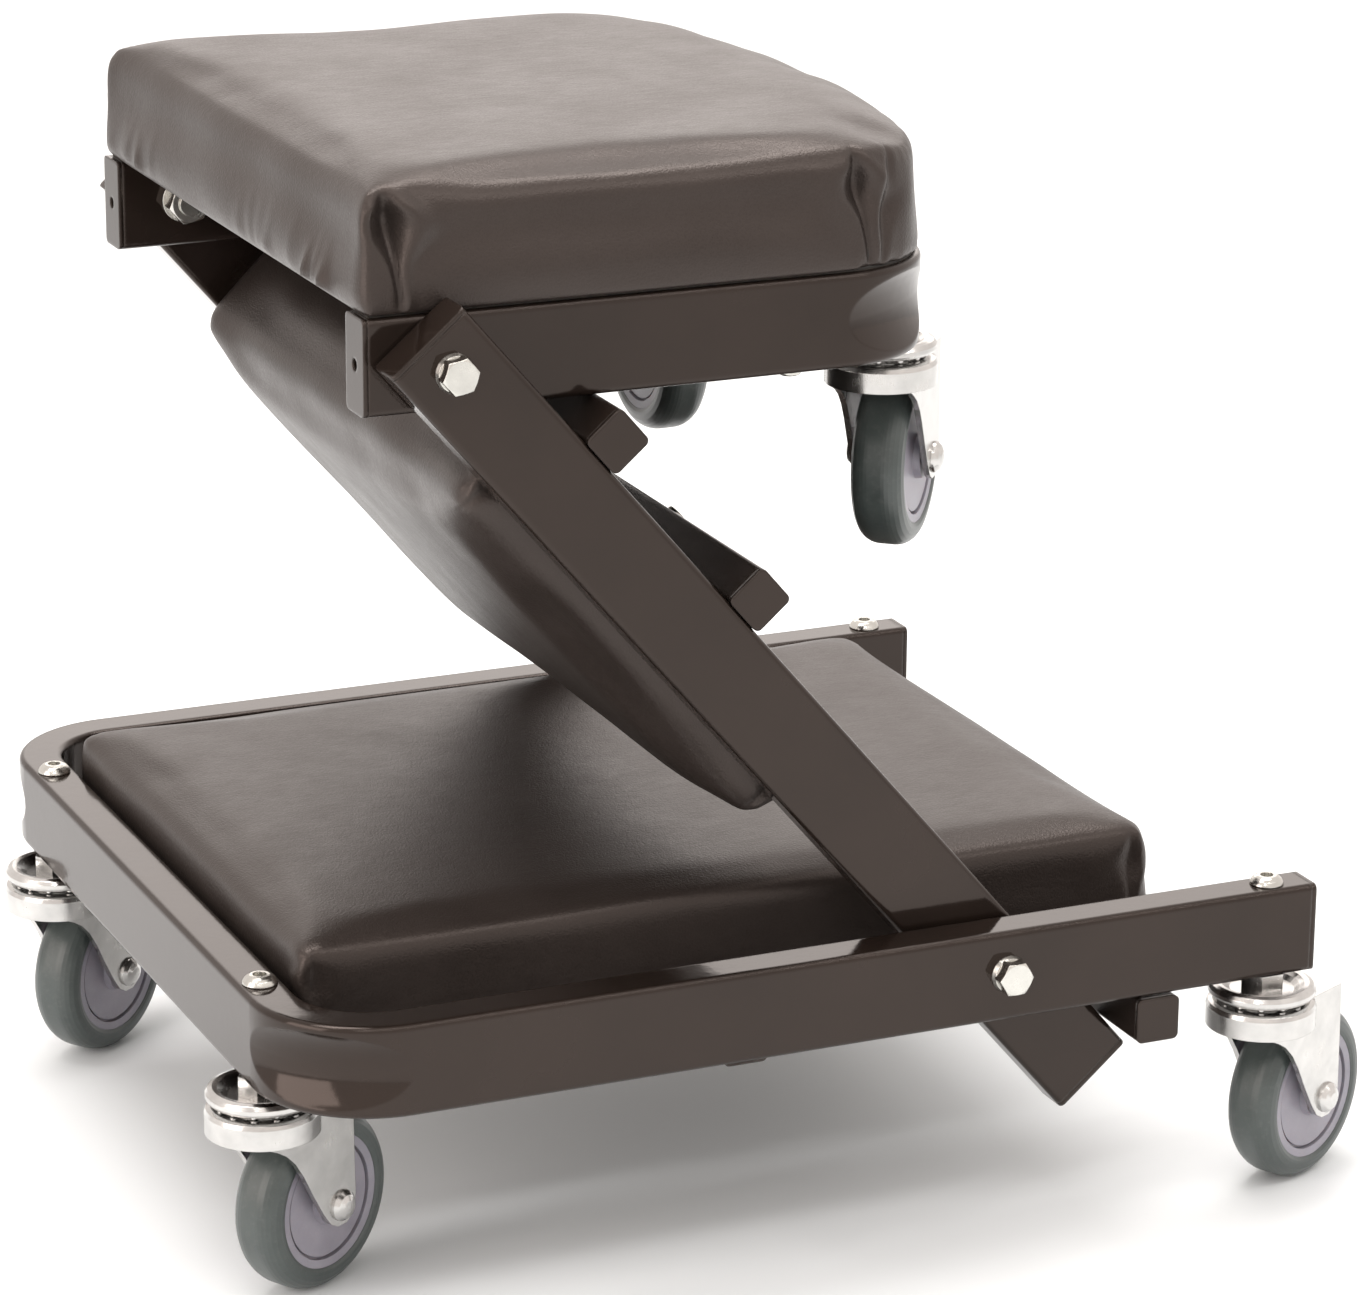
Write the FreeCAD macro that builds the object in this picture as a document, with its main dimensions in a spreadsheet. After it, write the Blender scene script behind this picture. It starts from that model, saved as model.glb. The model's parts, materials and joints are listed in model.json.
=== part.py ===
import FreeCAD, Part
import math
import os

import Sketcher

# Folding mechanics creeper: base frame, middle section, seat frame and six casters.
# All lengths are millimetres. X runs from the closed end of the base to its open end,
# Y across it, and Z up from the floor.

os.makedirs("parts", exist_ok=True)
doc = FreeCAD.newDocument("creeper")
Vector = FreeCAD.Vector
Rotation = FreeCAD.Rotation
Placement = FreeCAD.Placement
Constraint = Sketcher.Constraint

DIMENSIONS = [
    ("origin_x", 238.86, "row origin from the closed end of the base"),
    ("origin_y", 203.71, "row origin from the near side of the base"),
    ("tube_high", 38.0, "height of the frame tubes"),
    ("tube_wide", 19.0, "width of the frame tubes"),
    ("tube_wall", 1.5, "wall of every tube"),
    ("tube_corner", 2.5, "outside corner radius of the tubes"),
    ("bar_side", 19.0, "side of the square crossbars"),
    ("bend_radius", 40.0, "centreline radius of the frame bends"),
    ("pinch_depth", 5.5, "depth of the pinch in the outside of a bend"),
    ("pinch_half", 15.6, "half height of the pinch"),
    ("base_wide", 400.0, "outside width of the base"),
    ("base_long", 447.0, "length of the base frame"),
    ("pivot_up", 20.0, "pivot above the underside of a frame tube"),
    ("base_pivot_x", 305.0, "lower pivot from the closed end"),
    ("side_gap", 1.5, "gap between neighbouring side tubes"),
    ("fold_angle", 49.33, "slope of the middle section in degrees"),
    ("pivot_span", 351.7, "distance between lower and upper pivots"),
    ("link_tail", 78.9, "middle tube beyond the lower pivot"),
    ("link_head", 16.5, "middle tube beyond the upper pivot"),
    ("link_bar_high", 58.8, "upper crossbar from the upper pivot"),
    ("link_bar_low", 151.0, "lower crossbar from the upper pivot"),
    ("seat_back", 28.7, "seat frame behind the upper pivot"),
    ("seat_side", 201.0, "straight side of the seat frame"),
    ("seat_bend", 75.0, "angle of the seat frame bends in degrees"),
    ("stop_gap", 0.35, "clearance at the rest stop"),
    ("mid_bar_x", 188.0, "mid crossbar from the closed end"),
    ("mid_bar_drop", 9.0, "mid crossbar below the frame tube"),
    ("board_thick", 9.0, "plywood boards"),
    ("base_cushion_start", 19.6, "base cushion from the closed end"),
    ("base_cushion_long", 382.4, "length of the base cushion"),
    ("base_cushion_edge", 52.0, "base cushion from the side of the frame"),
    ("base_cushion_high", 44.0, "base cushion, underside of board to top"),
    ("link_cushion_start", 103.0, "middle cushion from the lower pivot"),
    ("link_cushion_long", 203.0, "length of the middle cushion"),
    ("link_cushion_high", 52.0, "middle cushion, underside of board to top"),
    ("seat_cushion_high", 50.0, "seat cushion above the tube"),
    ("cushion_round", 9.0, "edge radius of the cushions"),
    ("cushion_skirt", 3.0, "cushion beyond the edge of its board"),
    ("caster_high", 99.0, "floor to the underside of the tube"),
    ("wheel_radius", 37.5, "outside radius of the wheels"),
    ("wheel_wide", 22.0, "width of the tyres"),
    ("hub_radius", 27.8, "outside radius of the hubs"),
    ("axle_radius", 4.0, "wheel axles"),
    ("trail", 28.0, "wheel axle behind the swivel axis"),
    ("fork_inside", 28.0, "width between the fork legs"),
    ("fork_sheet", 2.5, "thickness of the fork steel"),
    ("cup_radius", 23.0, "outside radius of the fork cup"),
    ("king_radius", 8.0, "shank of the kingpins"),
    ("screw_radius", 4.0, "caster screws"),
    ("ball_radius", 1.5, "swivel balls"),
    ("race_radius", 17.0, "pitch radius of the swivel balls"),
    ("pivot_radius", 5.0, "pivot bolts"),
    ("run_fit", 0.06, "radial clearance of the pivots and bearings"),
    ("vent_radius", 2.5, "vent holes in the end plates"),
    ("plate_thick", 2.0, "end plates"),
    ("closed_caster_y", 64.0, "closed end casters from the sides"),
    ("open_caster_x", 428.5, "open end casters from the closed end"),
    ("seat_caster_y", 101.0, "seat casters from the sides of the base"),
]

sheet = doc.addObject("Spreadsheet::Sheet", "dims")
for row, (alias, value, note) in enumerate(DIMENSIONS, start=1):
    sheet.set("A%d" % row, note)
    sheet.set("B%d" % row, "%g" % value)
    sheet.setAlias("B%d" % row, alias)
doc.recompute()


class Dim:
    """A length with the spreadsheet expression that gives it."""

    def __init__(self, value, text):
        self.value = float(value)
        self.text = text

    def join(self, other, sign, value):
        other = as_dim(other)
        return Dim(value(self.value, other.value), "(%s %s %s)" % (self.text, sign, other.text))

    def __add__(self, other):
        return self.join(other, "+", lambda a, b: a + b)

    def __radd__(self, other):
        return as_dim(other) + self

    def __sub__(self, other):
        return self.join(other, "-", lambda a, b: a - b)

    def __rsub__(self, other):
        return as_dim(other) - self

    def __mul__(self, other):
        return self.join(other, "*", lambda a, b: a * b)

    def __rmul__(self, other):
        return self * other

    def __truediv__(self, other):
        return self.join(other, "/", lambda a, b: a / b)

    def __neg__(self):
        return Dim(-self.value, "(0 - %s)" % self.text)


def as_dim(value):
    if isinstance(value, Dim):
        return value
    if value < 0:
        return Dim(value, "(0 - %.6f)" % -value)
    return Dim(value, "%.6f" % value)


def cell(alias):
    return Dim(sheet.get(alias), "dims.%s" % alias)


high = cell("tube_high")
wide = cell("tube_wide")
wall = cell("tube_wall")
corner = cell("tube_corner")
bar = cell("bar_side")
base_wide = cell("base_wide")
base_long = cell("base_long")
gap = cell("side_gap")
pivot_up = cell("pivot_up")
board_thick = cell("board_thick")
plate = cell("plate_thick")
skirt = cell("cushion_skirt")

# Heights and places in the frame of the base.
tube_z = cell("caster_high").value
fold = math.radians(cell("fold_angle").value)
along_x = -math.cos(fold)
along_z = math.sin(fold)
row_origin = Vector(cell("origin_x").value, cell("origin_y").value, 0)
lower_pivot = Vector(cell("base_pivot_x").value, 0, tube_z + pivot_up.value)
upper_pivot = lower_pivot + Vector(along_x, 0, along_z) * cell("pivot_span").value
link_y = wide + gap
seat_y = (wide + gap) * 2

X_AXIS = Vector(1, 0, 0)
Y_AXIS = Vector(0, 1, 0)
Z_AXIS = Vector(0, 0, 1)
# Sketch plane turned so that its own x runs along Y and its own y along Z.
FACING_X = Rotation(Vector(0, 1, 0), Vector(0, 0, 1), Vector(1, 0, 0), "ZXY")


def move(x, y, z):
    return Placement(Vector(x, y, z), Rotation())


def turn(axis, degrees):
    return Placement(Vector(), Rotation(axis, degrees))


def settle(item, placement):
    """Place a piece, given in the frame of the base, in the row's frame."""
    item.Placement = Placement(-row_origin, Rotation()).multiply(placement)
    return item


BASE = move(0, 0, tube_z)
SEAT = move(upper_pivot.x - cell("seat_back").value, 0, upper_pivot.z - pivot_up.value)
# The middle section's own x runs from the lower to the upper pivot, and its own z is the
# side with the crossbars.
LINK = Placement(lower_pivot, Rotation()).multiply(turn(Y_AXIS, -(180 - cell("fold_angle").value)))
LINK = LINK.multiply(turn(X_AXIS, 180)).multiply(move(0, -base_wide.value, 0))


def pin(sketch, geometry, point, x, y):
    """Hold a sketch point at x, y from the sketch's origin."""
    for kind, distance in (("DistanceX", as_dim(x)), ("DistanceY", as_dim(y))):
        if abs(distance.value) < 1e-7:
            other = -2 if kind == "DistanceX" else -1
            sketch.addConstraint(Constraint("PointOnObject", geometry, point, other))
            continue
        if distance.value > 0:
            index = sketch.addConstraint(Constraint(kind, -1, 1, geometry, point, distance.value))
        else:
            distance = -distance
            index = sketch.addConstraint(Constraint(kind, geometry, point, -1, 1, distance.value))
        sketch.setExpression("Constraints[%d]" % index, distance.text)


def polygon(sketch, points):
    """Closed outline through points given as (x, y)."""
    corners = [Vector(as_dim(x).value, as_dim(y).value, 0) for x, y in points]
    first = sketch.GeometryCount
    count = len(points)
    for i in range(count):
        sketch.addGeometry(Part.LineSegment(corners[i], corners[(i + 1) % count]), False)
    for i in range(count):
        following = first + (i + 1) % count
        sketch.addConstraint(Constraint("Coincident", first + i, 2, following, 1))
    for i, (x, y) in enumerate(points):
        pin(sketch, first + i, 1, x, y)


def circle(sketch, x, y, radius):
    """Circle with its centre and radius held."""
    radius = as_dim(radius)
    centre = Vector(as_dim(x).value, as_dim(y).value, 0)
    index = sketch.addGeometry(Part.Circle(centre, Z_AXIS, radius.value), False)
    pin(sketch, index, 3, x, y)
    held = sketch.addConstraint(Constraint("Radius", index, radius.value))
    sketch.setExpression("Constraints[%d]" % held, radius.text)


def rectangle(sketch, x0, y0, x1, y1):
    polygon(sketch, [(x0, y0), (x1, y0), (x1, y1), (x0, y1)])


def rounded(sketch, x0, y0, x1, y1, radius):
    """Rectangle with rounded corners, its corner centres and radius held."""
    x0, y0, x1, y1, radius = (as_dim(v) for v in (x0, y0, x1, y1, radius))
    centres = [(x1 - radius, y1 - radius), (x0 + radius, y1 - radius),
               (x0 + radius, y0 + radius), (x1 - radius, y0 + radius)]
    first = sketch.GeometryCount
    for i, (x, y) in enumerate(centres):
        full = Part.Circle(Vector(x.value, y.value, 0), Z_AXIS, radius.value)
        start = math.pi / 2 * i
        sketch.addGeometry(Part.ArcOfCircle(full, start, start + math.pi / 2), False)
    for i in range(4):
        a = sketch.getPoint(first + i, 2)
        b = sketch.getPoint(first + (i + 1) % 4, 1)
        sketch.addGeometry(Part.LineSegment(a, b), False)
    for i in range(4):
        sketch.addConstraint(Constraint("Tangent", first + i, 2, first + 4 + i, 1))
        sketch.addConstraint(Constraint("Tangent", first + 4 + i, 2, first + (i + 1) % 4, 1))
    for i in range(1, 4):
        sketch.addConstraint(Constraint("Equal", first, first + i))
    held = sketch.addConstraint(Constraint("Radius", first, radius.value))
    sketch.setExpression("Constraints[%d]" % held, radius.text)
    pin(sketch, first, 3, *centres[0])
    pin(sketch, first + 2, 3, *centres[2])
    sketch.addConstraint(Constraint("Horizontal", first + 4))
    sketch.addConstraint(Constraint("Vertical", first + 5))


def body(label, placement):
    made = doc.addObject("PartDesign::Body", "Body_" + label)
    made.Label = label
    settle(made, placement)
    return made


def plane(owner, role):
    for feature in owner.Origin.OriginFeatures:
        if feature.Role == role:
            return feature
    raise ValueError(role)


def sketch_on(owner, name, role, offset=0.0):
    """Sketch on an origin plane of its own body, raised by offset along its normal."""
    made = owner.newObject("Sketcher::SketchObject", name)
    made.AttachmentSupport = (plane(owner, role), [""])
    made.MapMode = "FlatFace"
    raised = as_dim(offset)
    made.AttachmentOffset = Placement(Vector(0, 0, raised.value), Rotation())
    if abs(raised.value) > 1e-9:
        made.setExpression("AttachmentOffset.Base.z", raised.text)
    return made


def pad(owner, profile, length, both=False, back=False):
    length = as_dim(length)
    made = owner.newObject("PartDesign::Pad", "Pad")
    made.Profile = profile
    made.Length = length.value
    made.setExpression("Length", length.text)
    made.Midplane = both
    made.Reversed = back
    doc.recompute()
    return made


def pocket(owner, profile, length=None, both=False, back=False):
    """Cut a profile away, right through if no length is given."""
    before = owner.Shape.Volume
    made = owner.newObject("PartDesign::Pocket", "Pocket")
    made.Profile = profile
    if length is None:
        made.Type = "ThroughAll"
    else:
        length = as_dim(length)
        made.Length = length.value
        made.setExpression("Length", length.text)
    made.Midplane = both
    made.Reversed = back
    doc.recompute()
    if owner.Shape.Volume > before - 1e-6:
        raise ValueError("%s: a pocket removes nothing" % owner.Label)
    return made


def spin(owner, profile, axis, cut=False):
    """Turn a profile a full circle about a sketch axis, as solid or as cut."""
    kind = "PartDesign::Groove" if cut else "PartDesign::Revolution"
    made = owner.newObject(kind, "Turned")
    made.Profile = profile
    made.ReferenceAxis = (profile, [axis])
    made.Angle = 360.0
    doc.recompute()
    return made


def round_edges(owner, chosen, radius):
    """Fillet the edges that the test picks."""
    tip = owner.Tip
    names = ["Edge%d" % (i + 1) for i, edge in enumerate(tip.Shape.Edges) if chosen(edge)]
    made = owner.newObject("PartDesign::Fillet", "Fillet")
    made.Base = (tip, names)
    radius = as_dim(radius)
    made.Radius = radius.value
    made.setExpression("Radius", radius.text)
    doc.recompute()
    return made


def runs_along(axis):
    """Test for straight edges along an axis."""
    def test(edge):
        if not isinstance(edge.Curve, Part.Line):
            return False
        return edge.Curve.Direction.cross(axis).Length < 1e-6
    return test


# Frame tubes: a rounded profile swept along the bent centreline, with the outside of each
# bend pinched in and the wall following the pinch.

def loose_sketch(name, placement):
    made = doc.addObject("Sketcher::SketchObject", name)
    made.Placement = placement
    return made


def arc_through(centre, radius, start, end):
    """Arc given by its end directions in degrees, run from start to end."""
    def at(angle):
        radians = math.radians(angle)
        return centre + Vector(math.cos(radians), math.sin(radians), 0) * radius
    return Part.Arc(at(start), at((start + end) / 2), at(end))


def mirrored_y(point):
    return Vector(point.x, base_wide.value - point.y, point.z)


def pinch(name, bend_centre, outward, half_angle, extra):
    """Ring segment that presses in the outside of a bend, grown inwards by extra."""
    outer = cell("bend_radius").value + wide.value / 2
    depth = cell("pinch_depth").value
    half = cell("pinch_half").value
    cosine = math.cos(math.radians(half_angle))
    back = (2 * outer * depth - depth ** 2) / (2 * (outer * (1 - cosine) - depth))
    inner = outer - depth + back
    sine = math.sin(math.radians(half_angle))
    span = math.degrees(math.atan2(outer * sine, outer * cosine + back))
    ring = (half ** 2 + depth ** 2) / (2 * depth)
    made = doc.addObject("Part::Torus", name)
    made.Radius1 = inner + ring
    made.Radius2 = ring + extra
    made.Angle1 = -180
    made.Angle2 = 180
    made.Angle3 = 2 * span + (6 if extra else 0)
    direction = Vector(math.cos(math.radians(outward)), math.sin(math.radians(outward)), 0)
    middle = bend_centre - direction * back + Vector(0, 0, high.value / 2)
    made.Placement = Placement(middle, Rotation(Z_AXIS, outward - made.Angle3.Value / 2))
    return made


def rod(name, radius, length, position, axis=Z_AXIS):
    """Cylinder starting at a position and running along an axis."""
    made = doc.addObject("Part::Cylinder", name)
    radius = as_dim(radius)
    length = as_dim(length)
    made.Radius = radius.value
    made.Height = length.value
    made.setExpression("Radius", radius.text)
    made.setExpression("Height", length.text)
    made.Placement = Placement(position, Rotation(Z_AXIS, axis))
    return made


def joined(name, shapes):
    made = doc.addObject("Part::Compound", name)
    made.Links = shapes
    return made


def cut(name, base, tool):
    made = doc.addObject("Part::Cut", name)
    made.Base = base
    made.Tool = tool
    return made


def tube_profile(name, spot, heading, insets):
    """Rounded tube section at a point of the centreline, square to its heading."""
    stand = Placement(spot, Rotation(Z_AXIS, heading).multiply(FACING_X))
    profile = loose_sketch(name, stand)
    for inset in insets:
        side = wide / 2 - inset
        rounded(profile, -side, as_dim(inset), side, high - inset, corner - inset)
    return profile


def straight_run(name, start, end):
    """Hollow straight run of a frame tube."""
    along = end - start
    heading = math.degrees(math.atan2(along.y, along.x))
    made = doc.addObject("Part::Extrusion", name)
    made.Base = tube_profile(name + "_section", start, heading, (0, wall))
    made.DirMode = "Custom"
    made.Dir = along
    made.LengthFwd = along.Length
    made.Solid = True
    return made


def bent_run(name, centre, radius, start, end, pinched):
    """Hollow bend of a frame tube about a vertical axis, pinched or plain."""
    angle = math.radians(start)
    spot = centre + Vector(math.cos(angle), math.sin(angle), 0) * radius
    solids = []
    for part, inset in (("outer", 0), ("inner", wall)):
        made = doc.addObject("Part::Revolution", "%s_%s" % (name, part))
        made.Source = tube_profile("%s_%s_section" % (name, part), spot, start + 90, (inset,))
        made.Axis = Z_AXIS
        made.Base = centre
        made.Angle = end - start
        made.Solid = True
        solids.append(made)
    if pinched:
        facing = (centre, (start + end) / 2, abs(end - start) / 2)
        solids[0] = cut(name + "_pinched", solids[0], pinch(name + "_dent", *facing, 0))
        solids[1] = cut(name + "_hollow", solids[1], pinch(name + "_wall", *facing, wall.value))
    return cut(name + "_bend", *solids)


def frame_tube(label, runs, holes, placement):
    """Bent rectangular tube, pinched at its bends and drilled."""
    parts = [bent_run(label + "_run", *run) if len(run) > 2 else straight_run(label + "_run", *run)
             for run in runs]
    whole = doc.addObject("Part::MultiFuse", label + "_whole")
    whole.Shapes = parts
    whole.Refine = True
    made = cut("Drilled_" + label, whole, joined(label + "_holes", holes))
    made.Label = label
    settle(made, placement)
    doc.recompute()
    return made


def line(a, b):
    return Part.LineSegment(a, b)


half_wide = wide.value / 2
bend = cell("bend_radius").value
full_y = base_wide.value

# Base frame.
near_open = Vector(base_long.value - plate.value, half_wide, 0)
near_bend = Vector(half_wide + bend, half_wide, 0)
near_centre = near_bend + Vector(0, bend, 0)
near_end = Vector(half_wide, half_wide + bend, 0)
base_runs = [
    (near_open, near_bend),
    (near_centre, bend, 180, 270, True),
    (near_end, mirrored_y(near_end)),
    (mirrored_y(near_centre), bend, 90, 180, True),
    (mirrored_y(near_bend), mirrored_y(near_open)),
]
closed_y = cell("closed_caster_y").value
open_x = cell("open_caster_x").value
seat_caster_y = cell("seat_caster_y").value
base_caster_spots = [
    Vector(half_wide, closed_y, 0),
    Vector(half_wide, full_y - closed_y, 0),
    Vector(open_x, half_wide, 0),
    Vector(open_x, full_y - half_wide, 0),
]
screw_hole = cell("screw_radius") + 0.2
base_holes = [rod("base_hole", screw_hole, high + 4, spot - Vector(0, 0, 2))
              for spot in base_caster_spots]
for y in (-2.0, full_y - wide.value - 2.0):
    spot = Vector(lower_pivot.x, y, pivot_up.value)
    base_holes.append(rod("base_hole", cell("pivot_radius"), wide + 4, spot, Y_AXIS))
lower_frame = frame_tube("lower_frame", base_runs, base_holes, BASE)

# Seat frame, in its own frame with x from its open end.
side_y = seat_y.value + half_wide
angle = cell("seat_bend").value
turned = math.radians(angle)
seat_open = Vector(plate.value, side_y, 0)
seat_bend = Vector(cell("seat_side").value, side_y, 0)
seat_centre = seat_bend + Vector(0, bend, 0)
bend_end = seat_centre + Vector(math.sin(turned), -math.cos(turned), 0) * bend
arch_radius = (full_y / 2 - bend_end.y) / math.sin(math.pi / 2 - turned)
arch_centre = Vector(bend_end.x - arch_radius * math.sin(turned), full_y / 2, 0)
apex_x = arch_centre.x + arch_radius
seat_runs = [
    (seat_open, seat_bend),
    (seat_centre, bend, 270, 270 + angle, True),
    (arch_centre, arch_radius, angle - 90, 90 - angle, False),
    (mirrored_y(seat_centre), bend, 90 - angle, 90, True),
    (mirrored_y(seat_bend), mirrored_y(seat_open)),
]
reach = full_y / 2 - seat_caster_y
seat_caster_x = arch_centre.x + math.sqrt(arch_radius ** 2 - reach ** 2)
seat_caster_spots = [
    Vector(seat_caster_x, seat_caster_y, 0),
    Vector(seat_caster_x, full_y - seat_caster_y, 0),
]
seat_holes = [rod("seat_hole", screw_hole, high + 4, spot - Vector(0, 0, 2))
              for spot in seat_caster_spots]
seat_pivot_x = cell("seat_back").value
seat_screw_x = (70.0, 180.0)
for y in (seat_y.value, full_y - seat_y.value - wide.value):
    spot = Vector(seat_pivot_x, y - 2, pivot_up.value)
    run = cell("pivot_radius") + cell("run_fit")
    seat_holes.append(rod("seat_hole", run, wide + 4, spot, Y_AXIS))
    for x in seat_screw_x:
        spot = Vector(x, y + half_wide, -2)
        seat_holes.append(rod("seat_hole", 2.0, high + 4, spot))
upper_frame = frame_tube("upper_frame", seat_runs, seat_holes, SEAT)


def straight_tube(label, length, across, tall, placement):
    """Straight rectangular tube along its own x, from zero."""
    made = body(label, placement)
    outline = sketch_on(made, "Outside", "YZ_Plane")
    rectangle(outline, 0, 0, across, tall)
    pad(made, outline, length)
    round_edges(made, runs_along(X_AXIS), corner)
    inside = sketch_on(made, "Inside", "YZ_Plane")
    rounded(inside, wall, wall, across - wall, tall - wall, corner - wall)
    pocket(made, inside, length, back=True)
    return made


def drill(owner, role, offset, spots, depth=None, back=False, both=False):
    """Round holes from a plane of the body; each spot is x, y and radius."""
    holes = sketch_on(owner, "Holes", role, offset)
    for x, y, radius in spots:
        circle(holes, x, y, radius)
    return pocket(owner, holes, depth, both=both, back=back)


# Crossbars of the base. The stop bar's lower edge meets the middle section.
stop_down = (pivot_up.value + bar.value + 1.0)
contact = (high.value / 2 + cell("stop_gap").value + stop_down * math.cos(fold)) / math.sin(fold)
stop_x = lower_pivot.x + contact
bar_inset = plate.value
bar_long = base_wide - plate * 2
ACROSS = Placement(Vector(), Rotation(Z_AXIS, 90))


def across_at(x, y, z):
    """Placement of a bar that runs along Y, with its low x and z corner given."""
    return move(x + bar.value, y, z).multiply(ACROSS)


lower_stop_crossbar = straight_tube("lower_stop_crossbar", bar_long, bar, bar,
                                    across_at(stop_x, bar_inset, tube_z - 1.0 - bar.value))
mid_x = cell("mid_bar_x").value
mid_z = tube_z - cell("mid_bar_drop").value
inner_long = base_wide - wide * 2
lower_mid_crossbar = straight_tube("lower_mid_crossbar", inner_long, bar, bar,
                                   across_at(mid_x, wide.value, mid_z))
screw_y = (120.0, full_y - 120.0)
drill(lower_mid_crossbar, "XY_Plane", -1.0,
      [(y - wide.value, bar / 2, 2.0) for y in screw_y], bar + 2, back=True)

# Middle section, in its own frame: x from the lower pivot, y across, z towards the crossbars.
link_long = cell("link_tail") + cell("pivot_span") + cell("link_head") - plate * 2
link_start = -cell("link_tail").value + plate.value
link_low = -high.value / 2
run = cell("pivot_radius") + cell("run_fit")
for label, y in (("middle_right_tube", link_y.value),
                 ("middle_left_tube", full_y - link_y.value - wide.value)):
    placement = LINK.multiply(move(link_start, full_y - y - wide.value, link_low))
    tube = straight_tube(label, link_long, wide, high, placement)
    lower_x = cell("link_tail") - plate
    upper_x = lower_x + cell("pivot_span")
    drill(tube, "XZ_Plane", 1.0,
          [(lower_x, high / 2, run), (upper_x, high / 2, cell("pivot_radius"))], wide + 2)

upper_bar_x = cell("pivot_span").value - cell("link_bar_high").value - bar.value
lower_bar_x = cell("pivot_span").value - cell("link_bar_low").value - bar.value
link_bar_long = base_wide - link_y * 2 - plate * 2
for label, x in (("middle_upper_crossbar", upper_bar_x), ("middle_lower_crossbar", lower_bar_x)):
    spot = LINK.multiply(across_at(x, link_y.value + plate.value, -link_low))
    made = straight_tube(label, link_bar_long, bar, bar, spot)
    drill(made, "XY_Plane", -1.0,
          [(y - link_y.value - plate.value, bar / 2, 2.0) for y in screw_y], bar + 2, back=True)


# End plates: a flat plate with a vent hole and a spigot that sits inside the tube.

def end_plate(name, across, tall, vent, placement):
    """Plate on its own yz plane, facing -x, with a spigot along +x and maybe a vent hole."""
    face = loose_sketch(name + "_face", Placement(Vector(), FACING_X))
    rounded(face, 0, 0, across, tall, corner)
    if vent is not None:
        circle(face, across / 2, tall / 2, vent)
    slab = doc.addObject("Part::Extrusion", name + "_slab")
    slab.Base = face
    slab.DirMode = "Custom"
    slab.Dir = X_AXIS
    slab.LengthFwd = plate.value
    slab.setExpression("LengthFwd", plate.text)
    slab.Solid = True
    neck = loose_sketch(name + "_neck", Placement(Vector(plate.value, 0, 0), FACING_X))
    rounded(neck, wall, wall, across - wall, tall - wall, corner - wall)
    if vent is not None:
        circle(neck, across / 2, tall / 2, vent)
    tongue = doc.addObject("Part::Extrusion", name + "_tongue")
    tongue.Base = neck
    tongue.DirMode = "Custom"
    tongue.Dir = X_AXIS
    tongue.LengthFwd = 3.0
    tongue.Solid = True
    whole = doc.addObject("Part::MultiFuse", name)
    whole.Shapes = [slab, tongue]
    whole.Placement = placement
    return whole


def group(label, solids, placement):
    """Several separate solids of one kind in one node."""
    made = joined("Group_" + label, solids)
    made.Label = label
    settle(made, placement)
    doc.recompute()
    return made


vent = cell("vent_radius")
to_left = turn(Z_AXIS, 180)
plates = []
for y in (0.0, full_y - wide.value):
    spot = move(base_long.value, y + wide.value, 0).multiply(to_left)
    plates.append(end_plate("frame_plate", wide, high, vent, spot))
facing_near = Placement(Vector(), Rotation(Z_AXIS, 90))
facing_far = Placement(Vector(), Rotation(Z_AXIS, -90))
stop_z = -1.0 - bar.value
plates.append(end_plate("stop_plate", bar, bar, None,
                        move(stop_x + bar.value, 0, stop_z).multiply(facing_near)))
plates.append(end_plate("stop_plate", bar, bar, None,
                        move(stop_x, full_y, stop_z).multiply(facing_far)))
lower_end_plates = group("lower_end_plates", plates, BASE)

plates = []
for y in (link_y.value, full_y - link_y.value - wide.value):
    low = move(-cell("link_tail").value, y, link_low)
    plates.append(end_plate("link_plate", wide, high, None, low))
    top = move(cell("pivot_span").value + cell("link_head").value, y + wide.value, link_low)
    plates.append(end_plate("link_plate", wide, high, None, top.multiply(to_left)))
for x in (upper_bar_x, lower_bar_x):
    near = move(x + bar.value, link_y.value, -link_low).multiply(facing_near)
    plates.append(end_plate("bar_plate", bar, bar, None, near))
    far = move(x, full_y - link_y.value, -link_low).multiply(facing_far)
    plates.append(end_plate("bar_plate", bar, bar, None, far))
middle_end_plates = group("middle_end_plates", plates, LINK)

plates = [end_plate("seat_plate", wide, high, vent, move(0, y, 0))
          for y in (seat_y.value, full_y - seat_y.value - wide.value)]
upper_end_plates = group("upper_end_plates", plates, SEAT)


# Boards and cushions.

def board_and_cushion(board_label, cushion_label, placement, x0, y0, x1, y1, thick, holes):
    """Plywood board with the cushion that wraps over its top and edges, lying on z = 0."""
    made = body(board_label, placement)
    outline = sketch_on(made, "Outline", "XY_Plane")
    rounded(outline, x0 + skirt, y0 + skirt, x1 - skirt, y1 - skirt, 8.0)
    pad(made, outline, board_thick)
    if holes:
        drill(made, "XY_Plane", 0.0, holes, 6.0, back=True)
    soft = body(cushion_label, placement)
    outline = sketch_on(soft, "Outline", "XY_Plane", 0.3)
    rounded(outline, x0, y0, x1, y1, 11.0)
    pad(soft, outline, thick - 0.3)
    top = as_dim(thick).value
    round_edges(soft, lambda edge: all(abs(v.Z - top) < 1e-3 for v in edge.Vertexes),
                cell("cushion_round"))
    room = sketch_on(soft, "BoardRoom", "XY_Plane", 0.0)
    rounded(room, x0 + skirt - 0.3, y0 + skirt - 0.3, x1 - skirt + 0.3, y1 - skirt + 0.3, 8.3)
    pocket(soft, room, board_thick + 0.3, back=True)
    return made, soft


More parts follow.
